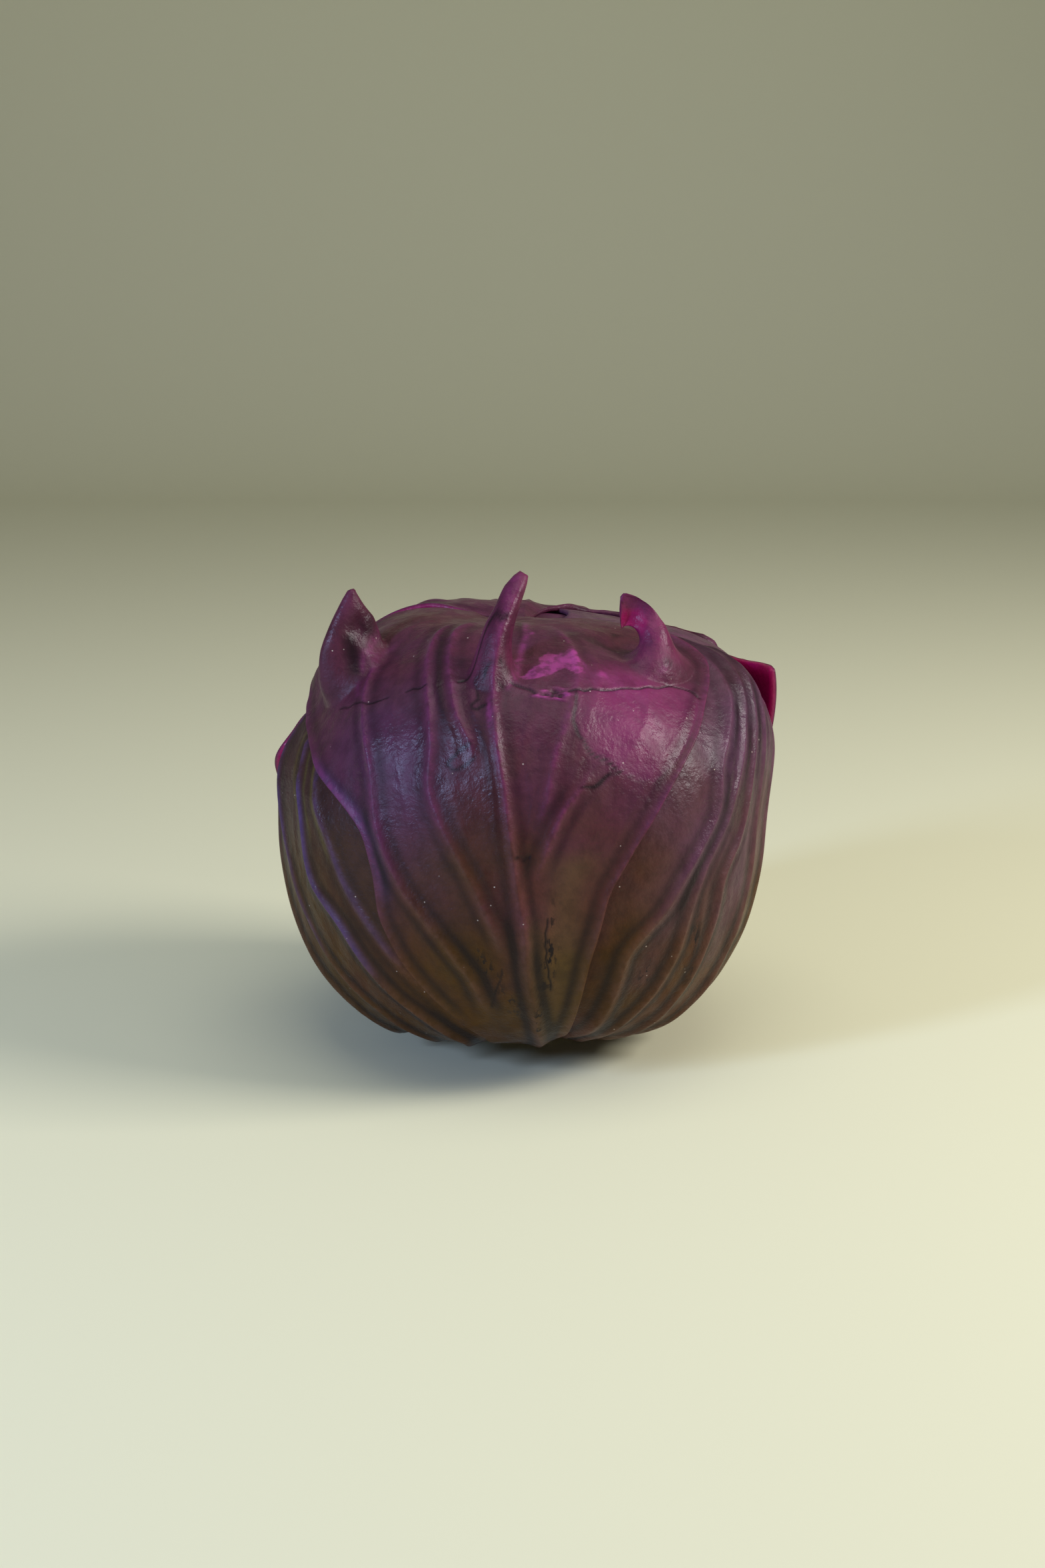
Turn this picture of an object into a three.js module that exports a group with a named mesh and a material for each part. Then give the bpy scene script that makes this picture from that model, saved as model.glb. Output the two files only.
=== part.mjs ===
// A head of red cabbage: a tight inner head, four wrapper leaves and the cut stem they grow from.
// Millimetres and degrees. The head stands on its cut stem at z = 0, its front faces -Y.
// A place on the head is an azimuth (0 at the front, growing to the right) and a latitude (0 at mid height).
import * as THREE from "three";

const headHalfWidth = 71.7;
const centreHeight = 67;
const crownRise = 62.4;
const crownPower = 2.75;
const footDrop = 66.6;
const footPower = 2.55;

const leafThickness = 1.3;
const layerPitch = 1.65;
const heartDepth = 4.1;
const hiddenDrop = 0.35;
const leafFootLatitude = -75.5;
const lowestLeaf = 0.4;

const stumpRadius = 16.2;
const stumpCoreRadius = 13;
const stumpCoreTop = 14;
const ribFoot = 2;

// Wide swellings and hollows of the head: azimuth, latitude, rise, and half widths in degrees
const swells = [
  [-72, 32, -1.2, 24, 12],
  [-105, 60, 2.6, 26, 13],
  [-90, 40.5, 3.0, 18, 6.5],
  [70, 50, -2.6, 32, 20],
  [106, 43, 3.4, 24, 14],
  [86, 22, 4.0, 21, 12],
  [92, 36, 4.4, 21, 10],
  [10, 78, -0.8, 60, 12],
  [-106, 31, -3.4, 28, 9],
  [-95, 10, 1.6, 30, 14],
  [-75, -28, -0.6, 24, 12],
  [95, -25, -1.8, 40, 15],
  [0, -58, 1.0, 400, 12],
  [0, -66, -2.6, 60, 10],
  [12, -53, -4.0, 17, 10],
  [-55, -63, -2.6, 15, 8],
  [42, -64, -1.2, 9, 8],
];
const hollows = [
  [-58, 47, -1.6, 5.5, 6],
  [-2, 57, -1.6, 4, 8],
  [50, 58, -2.4, 6, 5],
];

// Lines of [azimuth, latitude] on the head
const frontMidrib = [
  [7, -76], [6, -48], [2.5, -30], [0.5, -20], [0, -10], [-1.6, 0], [-3, 10], [-4.3, 20],
  [-6.5, 30], [-8.3, 40], [-9.5, 50], [-8, 60], [-4, 78],
];
const frontLeftMargin = [
  [-9, -76], [-12, -45], [-22, -30], [-29, -20], [-34, -10], [-35, -1], [-36.3, 3], [-37.7, 7.5],
  [-40, 10], [-46, 14.5], [-54.5, 18], [-63.5, 23.5], [-74, 27], [-85, 31], [-93, 37], [-99, 45],
  [-103, 56], [-108, 66], [-110, 88],
];
const frontHornLine = [
  [-7, -76], [-9, -45], [-17, -30], [-23, -20], [-27.5, -10], [-30.5, -1], [-33, 4], [-36, 10],
  [-40, 16], [-47, 23], [-55, 31], [-61, 39], [-64, 45], [-67, 55], [-72, 78],
];
const rib1 = [
  [-4.5, -76], [-5, -45], [-9, -32], [-12, -22], [-17, -15.5], [-22, -9.5], [-26.5, -4.5], [-28.5, -1.5],
  [-30.5, 2.5], [-33.5, 8.5], [-35, 13], [-37, 21.5], [-40.5, 27.5], [-46, 34], [-53, 41.5], [-58, 48],
  [-62, 60], [-66, 78],
];
const rib2 = [
  [-1.5, -76], [-1.5, -45], [-3, -30], [-4.5, -18], [-6, -11], [-8, -7], [-11.5, 0.5], [-15.7, 7.5],
  [-19.6, 14.3], [-22, 20], [-22.3, 28], [-25, 36], [-32, 47], [-37, 52], [-44, 60], [-50, 78],
];
const rib3 = [
  [2, -76], [1.5, -45], [-0.5, -30], [-2, -18], [-4, -5], [-7, 8], [-10, 20], [-12.8, 29.5],
  [-18, 36.5], [-22, 44], [-28.5, 52.5], [-37, 62.5], [-42, 78],
];
const vein1 = [
  [9.5, -76], [7.6, -48], [4.2, -30], [2.2, -20], [1.6, -10], [0.6, 0], [3, 12], [5, 18],
  [7.5, 28], [10.5, 34], [15, 42], [19, 50], [22, 60], [26, 78],
];
const rib4 = [
  [12, -76], [9, -48], [6, -30], [4, -20], [3.2, -10], [2.6, 1], [4.6, 7], [8, 15],
  [12.5, 20], [16.5, 25], [23, 33], [31, 42], [38, 52], [44, 62], [52, 78],
];
const frontHookLine = [
  [13.5, -76], [10, -46], [8.5, -30], [7.5, -20], [8, -10], [9.5, 0], [15, 10], [23, 20],
  [34, 30], [48, 40], [57, 48], [62, 56], [66, 78],
];
const frontRightMargin = [
  [15, -76], [11, -46], [12.5, -33], [14.5, -18], [16.8, -9.5], [18.5, -2.5], [22, 3], [25, 7.5],
  [29.5, 13], [33, 17.5], [39.5, 23.5], [46, 28.5], [54, 34.5], [64, 39], [70.5, 43], [76, 49],
  [82, 56], [87, 64], [92, 88],
];

// Left leaf, from its hidden back margin to the margin under the front leaf
const leftLeafBackMargin = [[-172, -76], [-168, -45], [-150, -15], [-142, 10], [-150, 60]];
const leftRibs = [
  [[-130, -76], [-118, -55], [-114, -35], [-115, -10], [-120, 20], [-128, 60]],
  [[-100, -76], [-84, -55], [-88, -40], [-97, -20], [-103, 5], [-110, 35], [-114, 60]],
  [[-70, -76], [-56, -52], [-66, -38], [-78, -22], [-87, -5], [-93, 15], [-99, 35], [-101, 60]],
  [[-44, -76], [-35, -50], [-46, -38], [-58, -26], [-68, -13], [-75, -2], [-79, 10], [-84, 22], [-88, 60]],
  [
    [-27, -76], [-20, -48], [-25, -40], [-36, -29], [-43.5, -20], [-48, -14], [-57, -8], [-60, -1.5],
    [-62, 6], [-67, 16], [-71, 26], [-74, 60],
  ],
  [[-17, -76], [-13, -45], [-22, -32], [-32, -21], [-40, -12], [-46, -4], [-50, 4], [-56, 12], [-62, 25], [-66, 60]],
];
const leftLeafFrontMargin = [[-9, -76], [-5, -45], [-10, -30], [-18, -15], [-27, 0], [-36, 15], [-52, 30], [-58, 60]];

// Right leaf, from the margin under the front leaf to its hidden back margin
const rightLeafFrontMargin = [[6, -76], [2, -45], [4, -30], [9, -15], [14, 0], [24, 15], [39, 30], [58, 46], [66, 64]];
const rightRibs = [
  [
    [16, -76], [15, -50], [19.5, -40], [22.5, -27], [23.5, -18], [28, -13], [33, -9], [38, -1.5],
    [42, 3], [49, 11], [52, 21], [60, 27.5], [67, 33], [73, 41], [80, 52], [86, 66],
  ],
  [
    [26, -76], [23, -50], [27, -41], [34.5, -30], [38.5, -19.5], [41, -7], [45, 0], [51, 7],
    [57, 15], [64, 23], [72, 32], [79, 42], [87, 54], [93, 66],
  ],
  [
    [38, -76], [35, -52], [42, -41], [46.5, -30], [50, -15], [51, -5], [58.5, 3], [62, 10],
    [68, 20], [75, 30], [83, 41], [92, 54], [98, 66],
  ],
  [[54, -76], [50, -54], [57, -42], [61, -30], [65, -15], [68, 0], [72, 12], [77, 24], [84, 36], [95, 54], [103, 66]],
  [[76, -76], [70, -54], [75, -40], [78, -25], [79, -8], [82, 8], [86, 24], [93, 38], [102, 54], [109, 66]],
  [[105, -76], [98, -54], [99, -40], [97, -25], [95, -5], [99, 15], [104, 35], [112, 54], [118, 66]],
];
const rightLeafBackMargin = [[172, -76], [160, -45], [138, -15], [130, 10], [136, 35], [148, 54], [160, 68]];

// Back leaf, from its flared right margin to its left margin
const backLeafRightMargin = [
  [160, -76], [134, -45], [116, -22], [104, -5], [96, 10], [91, 25], [88, 38], [89, 50], [94, 64], [96, 88],
];
const backMidrib = [[180, -76], [179, -30], [177, 0], [180, 30], [176, 78]];
const backLeafLeftMargin = [
  [200, -76], [222, -45], [238, -22], [249, -6], [260, 7], [267, 15], [264, 21], [254, 28],
  [248, 36], [246, 50], [247, 66], [248, 88],
];

// Side ribs of the back leaf: share of the way to the margin, latitude where the rib leaves the midrib
const backRibsRight = [[0.8, -60], [0.54, -48], [0.28, -30]];
const backRibsLeft = [[0.28, -38], [0.54, -52], [0.8, -62]];

function follow(line, latitude) {
  if (latitude <= line[0][1]) return line[0][0];
  for (let i = 1; i < line.length; i++) {
    if (latitude <= line[i][1]) {
      const share = (latitude - line[i - 1][1]) / (line[i][1] - line[i - 1][1]);
      return line[i - 1][0] + share * (line[i][0] - line[i - 1][0]);
    }
  }
  return line[line.length - 1][0];
}

function smoothStep(low, high, value) {
  const t = Math.min(1, Math.max(0, (value - low) / (high - low)));
  return t * t * (3 - 2 * t);
}

function mix(a, b, share) {
  return a + (b - a) * share;
}

function turn(azimuth) {
  return ((((azimuth + 180) % 360) + 360) % 360) - 180;
}

function plainRadius(latitude) {
  const t = THREE.MathUtils.degToRad(latitude);
  const rise = latitude > 0 ? crownRise : footDrop;
  const power = latitude > 0 ? crownPower : footPower;
  const across = (Math.cos(t) / headHalfWidth) ** power;
  const along = (Math.abs(Math.sin(t)) / rise) ** power;
  return (across + along) ** (-1 / power);
}

function bumpAt(azimuth, latitude, [a0, l0, rise, wideA, wideL], widen = 1) {
  const across = (turn(azimuth - a0) * Math.cos(THREE.MathUtils.degToRad(latitude))) / (wideA * widen);
  const along = (latitude - l0) / (wideL * widen);
  return rise * Math.exp(-across * across - along * along);
}

// Radius of the outermost layer without its ribs; deep says how much the hollows are widened for a layer below
function headRadius(azimuth, latitude, deep = 0) {
  let r = plainRadius(latitude);
  for (const swell of swells) r += bumpAt(azimuth, latitude, swell);
  for (const hollow of hollows) r += bumpAt(azimuth, latitude, hollow, 1 + deep) * (1 + 0.3 * deep);
  return r;
}

function place(azimuth, latitude, radius) {
  const a = THREE.MathUtils.degToRad(azimuth);
  const t = THREE.MathUtils.degToRad(latitude);
  return new THREE.Vector3(
    radius * Math.cos(t) * Math.sin(a),
    -radius * Math.cos(t) * Math.cos(a),
    centreHeight + radius * Math.sin(t),
  );
}

function millimetresPerDegree(latitude) {
  const t = THREE.MathUtils.degToRad(latitude);
  return (plainRadius(latitude) * Math.cos(t) * Math.PI) / 180;
}

// Millimetres from a line to a place, positive to its right
function offsetFrom(line, azimuth, latitude) {
  const slope = (follow(line, latitude + 2) - follow(line, latitude - 2)) / 4;
  const lean = Math.atan(slope * Math.cos(THREE.MathUtils.degToRad(latitude)));
  return turn(azimuth - follow(line, latitude)) * millimetresPerDegree(latitude) * Math.cos(lean);
}

// Height of one rib at a place: a narrow crest on a wide skirt, both wider and higher towards the foot,
// and level where the head curves in to the floor
function ribHeight(azimuth, latitude, rib) {
  const { line, height, from = -80, to = 80, swell = 0 } = rib;
  const offset = offsetFrom(line, azimuth, latitude);
  const grounded = smoothStep(-70, -52, latitude);
  const fade = grounded * smoothStep(from - 3, from + 7, latitude) * (1 - smoothStep(to - 7, to + 5, latitude));
  const low = smoothStep(20, -60, latitude);
  const width = 1.25 + 1.3 * swell * low;
  const crest = Math.exp(-(Math.abs(offset / width) ** 1.6));
  const skirt = Math.exp(-((offset / (5 + 2 * swell * low)) ** 2));
  return height * fade * (1 + 0.7 * swell * low) * (0.62 * crest + 0.48 * skirt);
}

// The three tips, where the leaf is drawn out along a curve. Each has its foot, its reach on the head to
// the left, right, below and above, how far its sections tilt on their outer and inner sides, how far they
// twist, and half widths on the way: share, left, right, outer, inner
const tips = {
  left: {
    foot: [-66, 45],
    reach: [10, 10, 17, 10],
    tilt: [1.3, 0.5],
    twist: 0,
    curve: [[-50.5, -24, 121.5], [-50.6, -23.5, 128], [-50, -22.3, 134], [-48.9, -22, 140]],
    widths: [
      [0, 8, 8, 11, 9.5], [0.25, 6, 4.8, 9.6, 9.3], [0.5, 4, 3.2, 6.8, 6.6], [0.75, 2.3, 2.2, 3.4, 3.7],
      [0.9, 1.4, 1.4, 1.7, 1.9], [1, 0.7, 0.7, 0.7, 0.7],
    ],
    corner: 1.8,
  },
  middle: {
    foot: [-9, 48],
    reach: [9, 7, 9, 8],
    tilt: [0.9, 0.5],
    twist: 0,
    curve: [[-7.9, -48, 121.5], [-6.8, -47, 130], [-3.2, -41.5, 138.5], [0.4, -36, 147]],
    widths: [
      [0, 8, 3.6, 8, 6], [0.3, 6.4, 2.4, 4.6, 4.8], [0.6, 4.6, 2, 3, 3.2], [0.8, 4.2, 1.9, 2.3, 2.3],
      [0.93, 2.6, 1.6, 1.6, 1.6], [1, 1.1, 0.9, 0.9, 0.9],
    ],
    corner: 1.9,
  },
  hook: {
    foot: [54, 50],
    reach: [13, 14, 12, 8],
    tilt: [0.7, 0.4],
    twist: 46,
    curve: [[40, -31, 117], [36, -26, 131], [32.5, -26.5, 135], [26.6, -28.5, 134.5]],
    widths: [
      [0, 11, 12, 12, 9], [0.15, 8.4, 8, 7.6, 6.2], [0.3, 4.6, 4.4, 5, 2.4], [0.5, 1.4, 2.6, 4, 3.6],
      [0.75, -1.2, 2.4, 4, 5.4], [0.92, -0.8, 1.9, 4.8, 5], [1, 0.4, 0.6, 4.8, 3.8],
    ],
    corner: 2.2,
  },
};

function curvePoint(curve, t) {
  const [a, b, c, d] = curve.map((p) => new THREE.Vector3(...p));
  const ab = a.clone().lerp(b, t);
  const bc = b.clone().lerp(c, t);
  const cd = c.clone().lerp(d, t);
  const abc = ab.lerp(bc, t);
  const bcd = bc.clone().lerp(cd, t);
  const ahead = bcd.clone().sub(abc).normalize();
  return { at: abc.clone().lerp(bcd, t), ahead };
}

// Right and inward directions of a tip's section; the section leans along the tip by its tilt
function crossFrame(tip, ahead, t, outside) {
  const facing = THREE.MathUtils.degToRad(tip.foot[0] + tip.twist * smoothStep(0, 0.5, t));
  const u = new THREE.Vector3(Math.cos(facing), Math.sin(facing), 0);
  u.addScaledVector(ahead, -u.dot(ahead)).normalize();
  const v = new THREE.Vector3().crossVectors(ahead, u);
  v.addScaledVector(ahead, (outside ? tip.tilt[0] : tip.tilt[1]) * (1 - t * t));
  return { u, v };
}

function widthsAt(widths, t) {
  const next = Math.max(1, widths.findIndex(([share]) => t <= share));
  const [a, b] = [widths[next - 1], widths[next]];
  const share = (t - a[0]) / (b[0] - a[0]);
  return a.slice(1).map((width, side) => mix(width, b[side + 1], share));
}

// Draws a point out along a tip; x and y are its millimetres right and up of the tip's foot
function drawOut(point, x, y, tip) {
  const [left, right, below, above] = tip.reach;
  const across = x / (x < 0 ? left : right);
  const along = y / (y < 0 ? below : above);
  const t = 1 - Math.hypot(across, along);
  if (t <= 0) return point;
  const corner = (Math.abs(across) ** tip.corner + Math.abs(along) ** tip.corner) ** (1 / tip.corner);
  const scale = 1 / Math.max(corner, 1e-6);
  const { at, ahead } = curvePoint(tip.curve, t);
  const { u, v } = crossFrame(tip, ahead, t, along < 0);
  const [wideLeft, wideRight, wideOuter, wideInner] = widthsAt(tip.widths, t);
  at.addScaledVector(u, across * scale * (across < 0 ? wideLeft : wideRight));
  at.addScaledVector(v, along * scale * (along < 0 ? wideOuter : wideInner));
  return point.clone().lerp(at, smoothStep(0, 0.45, t));
}

// Azimuths of a leaf's grid columns at one latitude, with close columns beside each rib
function columnsAt(leaf, latitude) {
  const columns = [];
  const foot = ribFoot / millimetresPerDegree(latitude);
  for (let i = 0; i + 1 < leaf.lines.length; i++) {
    const a = follow(leaf.lines[i].line, latitude);
    const b = follow(leaf.lines[i + 1].line, latitude);
    const step = Math.min(foot, 0.3 * (b - a));
    const inner = [a + (leaf.lines[i].sharp ? step : 0), b - (leaf.lines[i + 1].sharp ? step : 0)];
    const cells = leaf.lines[i + 1].cells;
    columns.push(a);
    if (leaf.lines[i].sharp) columns.push(inner[0]);
    for (let k = 1; k < cells; k++) columns.push(mix(inner[0], inner[1], k / cells));
    if (leaf.lines[i + 1].sharp) columns.push(inner[1]);
  }
  columns.push(follow(leaf.lines[leaf.lines.length - 1].line, latitude));
  return columns;
}

function latitudeOf(leaf, row, column, count) {
  const share = leaf.rows[row];
  const top = follow(leaf.top.map(([where, latitude]) => [latitude, where]), column / (count - 1));
  return mix(leafFootLatitude, top, share);
}

// Both faces of a leaf on one grid, with a rim between them
function leafGeometry(leaf) {
  const count = columnsAt(leaf, 0).length;
  const places = [];
  for (let row = 0; row < leaf.rows.length; row++) {
    for (let column = 0; column < count; column++) {
      const latitude = latitudeOf(leaf, row, column, count);
      const top = latitudeOf(leaf, leaf.rows.length - 1, column, count);
      const azimuth = columnsAt(leaf, latitude)[column];
      places.push({ azimuth, latitude, top });
    }
  }
  const outer = places.map((place) => leafPoint(leaf, place, true));
  const inner = places.map((place) => leafPoint(leaf, place, false));
  for (const tip of leaf.tips || []) raiseTip(outer, places, tip);
  const points = outer.concat(inner);
  for (const point of points) point.z = Math.max(point.z, lowestLeaf);
  return solidFromGrids(points, leaf.rows.length, count);
}

// A point of a leaf's outer or inner face; an edge that reaches the crown, at latitude top, is tucked in
function leafPoint(leaf, { azimuth, latitude, top }, outside) {
  const shown = leaf.shown(azimuth, latitude);
  const tuck = leaf.tuck * smoothStep(-14, 0, latitude - top) * smoothStep(66, 78, top);
  let radius = headRadius(azimuth, latitude) - leaf.depth + leaf.lift(azimuth, latitude);
  radius -= hiddenDrop * (1 - shown) + tuck;
  if (outside) {
    for (const rib of leaf.ribs) radius += shown * ribHeight(azimuth, latitude, rib);
  } else {
    radius -= leafThickness;
  }
  return place(azimuth, latitude, radius);
}

// The grid point nearest to the tip's foot becomes its end
function raiseTip(outer, places, tip) {
  const offsets = (azimuth, latitude, [a0, l0]) => [
    turn(azimuth - a0) * millimetresPerDegree(l0),
    THREE.MathUtils.degToRad(latitude - l0) * plainRadius(l0),
  ];
  const away = ({ azimuth, latitude }) => Math.hypot(...offsets(azimuth, latitude, tip.foot));
  const end = places.reduce((best, candidate) => (away(candidate) < away(best) ? candidate : best));
  places.forEach(({ azimuth, latitude }, i) => {
    const [x, y] = offsets(azimuth, latitude, [end.azimuth, end.latitude]);
    outer[i] = drawOut(outer[i], x, y, tip);
  });
}

function solidFromGrids(points, rows, columns) {
  const half = rows * columns;
  const triangles = [];
  const at = (row, column) => row * columns + column;
  const quad = (a, b, c, d, turned) => {
    if (turned) triangles.push(a, b, d, b, c, d);
    else triangles.push(a, b, c, a, c, d);
  };
  for (let row = 0; row + 1 < rows; row++) {
    for (let column = 0; column + 1 < columns; column++) {
      const [a, b] = [at(row, column), at(row, column + 1)];
      const [c, d] = [at(row + 1, column + 1), at(row + 1, column)];
      const turned = points[b].distanceTo(points[d]) < points[a].distanceTo(points[c]);
      quad(a, b, c, d, turned);
      if (turned) triangles.push(half + a, half + d, half + b, half + b, half + d, half + c);
      else triangles.push(half + a, half + c, half + b, half + a, half + d, half + c);
    }
  }
  const rim = [];
  for (let column = 0; column + 1 < columns; column++) rim.push(at(0, column));
  for (let row = 0; row + 1 < rows; row++) rim.push(at(row, columns - 1));
  for (let column = columns - 1; column > 0; column--) rim.push(at(rows - 1, column));
  for (let row = rows - 1; row > 0; row--) rim.push(at(row, 0));
  rim.forEach((a, i) => {
    const b = rim[(i + 1) % rim.length];
    triangles.push(a, half + a, half + b, a, half + b, b);
  });
  const geometry = new THREE.BufferGeometry();
  geometry.setAttribute("position", new THREE.Float32BufferAttribute(points.flatMap((p) => p.toArray()), 3));
  geometry.setIndex(triangles);
  geometry.computeVertexNormals();
  return geometry;
}

function rowShares(latitudes) {
  const low = latitudes[0];
  const high = latitudes[latitudes.length - 1];
  return latitudes.map((latitude) => (latitude - low) / (high - low));
}

function spacedLatitudes(stops) {
  const latitudes = [stops[0][0]];
  for (let i = 1; i < stops.length; i++) {
    const [end, cells] = stops[i];
    const start = stops[i - 1][0];
    for (let k = 1; k <= cells; k++) latitudes.push(mix(start, end, k / cells));
  }
  return latitudes;
}

// The front leaf lies on the outside and has the three tips
const frontLeaf = {
  name: "front_leaf",
  colour: 0x4a2340,
  lines: [
    { line: frontLeftMargin, sharp: true },
    { line: frontHornLine, cells: 3 },
    { line: rib1, sharp: true, cells: 3 },
    { line: rib2, sharp: true, cells: 3 },
    { line: rib3, sharp: true, cells: 2 },
    { line: frontMidrib, sharp: true, cells: 2 },
    { line: vein1, cells: 2 },
    { line: rib4, cells: 2 },
    { line: frontHookLine, cells: 3 },
    { line: frontRightMargin, sharp: true, cells: 3 },
  ],
  rows: rowShares(spacedLatitudes([[leafFootLatitude], [-45, 6], [0, 9], [34, 8], [62, 13], [76, 4], [87, 3]])),
  top: [[0, 76], [0.15, 84], [0.3, 88.3], [0.8, 88.3], [1, 82]],
  depth: 0,
  tuck: 0.4,
  lift: () => 0,
  shown: () => 1,
  ribs: [
    { line: frontMidrib, height: 1.5, to: 52, swell: 0.5 },
    { line: rib1, height: 1.2, from: -32, to: 52 },
    { line: rib2, height: 1.2, from: -16, to: 66 },
    { line: rib3, height: 1.1, from: 26, to: 70 },
    { line: rib4, height: 1.0, from: 1, to: 22 },
    { line: vein1, height: 0.5, from: 12, to: 70 },
    { line: frontLeftMargin, height: 0.9, from: -35, to: 60 },
    { line: frontRightMargin, height: 1.5, from: -60, to: 62 },
  ],
  tips: [tips.left, tips.middle, tips.hook],
};

const leftLeaf = {
  name: "left_leaf",
  colour: 0x43244a,
  lines: [
    { line: leftLeafBackMargin },
    ...leftRibs.map((line, i) => ({ line, sharp: true, cells: i ? 2 : 4 })),
    { line: leftLeafFrontMargin, cells: 2 },
  ],
  rows: rowShares(spacedLatitudes([[leafFootLatitude], [-45, 5], [10, 9], [40, 7]])),
  top: [[0, 60], [0.25, 56], [0.35, 52], [0.45, 48], [0.55, 44], [0.65, 42], [0.75, 40], [0.85, 36], [1, 31]],
  depth: layerPitch,
  tuck: 0,
  lift: (azimuth, latitude) => {
    const open = smoothStep(2, 14, -offsetFrom(frontLeftMargin, azimuth, latitude));
    const back = smoothStep(2, 12, offsetFrom(backLeafLeftMargin, azimuth, latitude));
    return 1.2 * open * back * (1 - smoothStep(12, 26, latitude));
  },
  shown: (azimuth, latitude) =>
    smoothStep(0.5, 5, -offsetFrom(frontLeftMargin, azimuth, latitude)) * smoothStep(0.5, 4, offsetFrom(backLeafLeftMargin, azimuth, latitude)),
  ribs: [
    { line: leftRibs[0], height: 0.9 },
    { line: leftRibs[1], height: 1.1 },
    { line: leftRibs[2], height: 1.5, swell: 0.7 },
    { line: leftRibs[3], height: 1.1 },
    { line: leftRibs[4], height: 1.4 },
    { line: leftRibs[5], height: 0.7 },
  ],
};

const rightLeaf = {
  name: "right_leaf",
  colour: 0x46203c,
  lines: [
    { line: rightLeafFrontMargin },
    ...rightRibs.map((line) => ({ line, sharp: true, cells: 2 })),
    { line: rightLeafBackMargin, cells: 4 },
  ],
  rows: rowShares(spacedLatitudes([[leafFootLatitude], [-45, 4], [10, 8], [40, 6], [64, 4], [82, 2]])),
  top: [[0, 60], [0.2, 64], [0.35, 77], [0.6, 86], [0.75, 84], [0.86, 76], [0.93, 70], [1, 66]],
  depth: layerPitch,
  tuck: 0,
  lift: (azimuth, latitude) => {
    const open = smoothStep(2, 12, offsetFrom(frontRightMargin, azimuth, latitude));
    const back = smoothStep(2, 12, -offsetFrom(backLeafRightMargin, azimuth, latitude));
    return 1.2 * open * back;
  },
  shown: (azimuth, latitude) =>
    smoothStep(0.5, 4, offsetFrom(frontRightMargin, azimuth, latitude)) * smoothStep(0.5, 4, -offsetFrom(backLeafRightMargin, azimuth, latitude)),
  ribs: [
    { line: rightRibs[0], height: 1.1, to: 60 },
    { line: rightRibs[1], height: 1.1, to: 60 },
    { line: rightRibs[2], height: 1.1, to: 60 },
    { line: rightRibs[3], height: 1.0 },
    { line: rightRibs[4], height: 1.0 },
    { line: rightRibs[5], height: 1.4, swell: 0.7 },
  ],
};

function backRib([reach, from], margin) {
  const stops = [-76, -60, -45, -30, -15, 0, 15, 30, 45, 60, 78, 88];
  return stops.map((latitude) => {
    const run = Math.min(1, Math.max(0, (latitude - from) / (55 - from)));
    const share = reach * (0.16 + 0.84 * run ** 0.7);
    return [mix(follow(backMidrib, latitude), follow(margin, latitude), share), latitude];
  });
}

const backRibs = [
  ...backRibsRight.map((rib) => ({ line: backRib(rib, backLeafRightMargin), from: rib[1] })),
  ...backRibsLeft.map((rib) => ({ line: backRib(rib, backLeafLeftMargin), from: rib[1] })),
];

const backLeaf = {
  name: "back_leaf",
  colour: 0x47213f,
  lines: [
    { line: backLeafRightMargin, sharp: true },
    ...backRibs.slice(0, 3).map(({ line }, i) => ({ line, sharp: true, cells: i ? 2 : 4 })),
    { line: backMidrib, sharp: true, cells: 2 },
    ...backRibs.slice(3).map(({ line }) => ({ line, sharp: true, cells: 2 })),
    { line: backLeafLeftMargin, sharp: true, cells: 2 },
  ],
  rows: rowShares(spacedLatitudes([[leafFootLatitude], [-45, 4], [5, 7], [40, 7], [76, 5], [86, 2]])),
  top: [
    [0, 31.2], [0.03, 32], [0.15, 35], [0.24, 44], [0.3, 50], [0.36, 57], [0.42, 66], [0.48, 79],
    [0.54, 87], [0.8, 87.5], [0.9, 83], [1, 76],
  ],
  depth: 0,
  tuck: 1.7,
  // Both margins stand away from the head: the right one in a corner, the left one in a low lip
  lift: (azimuth, latitude) => {
    const right = 6.2 * Math.max(0, (latitude - 15) / 17.7) ** 1.35 * (1 - smoothStep(38, 52, latitude));
    const besideRight = (azimuth - follow(backLeafRightMargin, latitude)) / 11;
    const left = 3.6 * smoothStep(-6, 8, latitude) * (1 - smoothStep(9, 21, latitude));
    const besideLeft = (azimuth - follow(backLeafLeftMargin, latitude)) / 9;
    return right * Math.exp(-besideRight * besideRight) + left * Math.exp(-besideLeft * besideLeft);
  },
  shown: () => 1,
  ribs: [
    { line: backMidrib, height: 1.6, swell: 1, to: 66 },
    ...backRibs.map(({ line, from }) => ({ line, height: 1.1, from, to: 66 })),
    { line: backLeafRightMargin, height: 0.6, from: -50 },
    { line: backLeafLeftMargin, height: 0.8, from: -50 },
  ],
};

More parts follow.
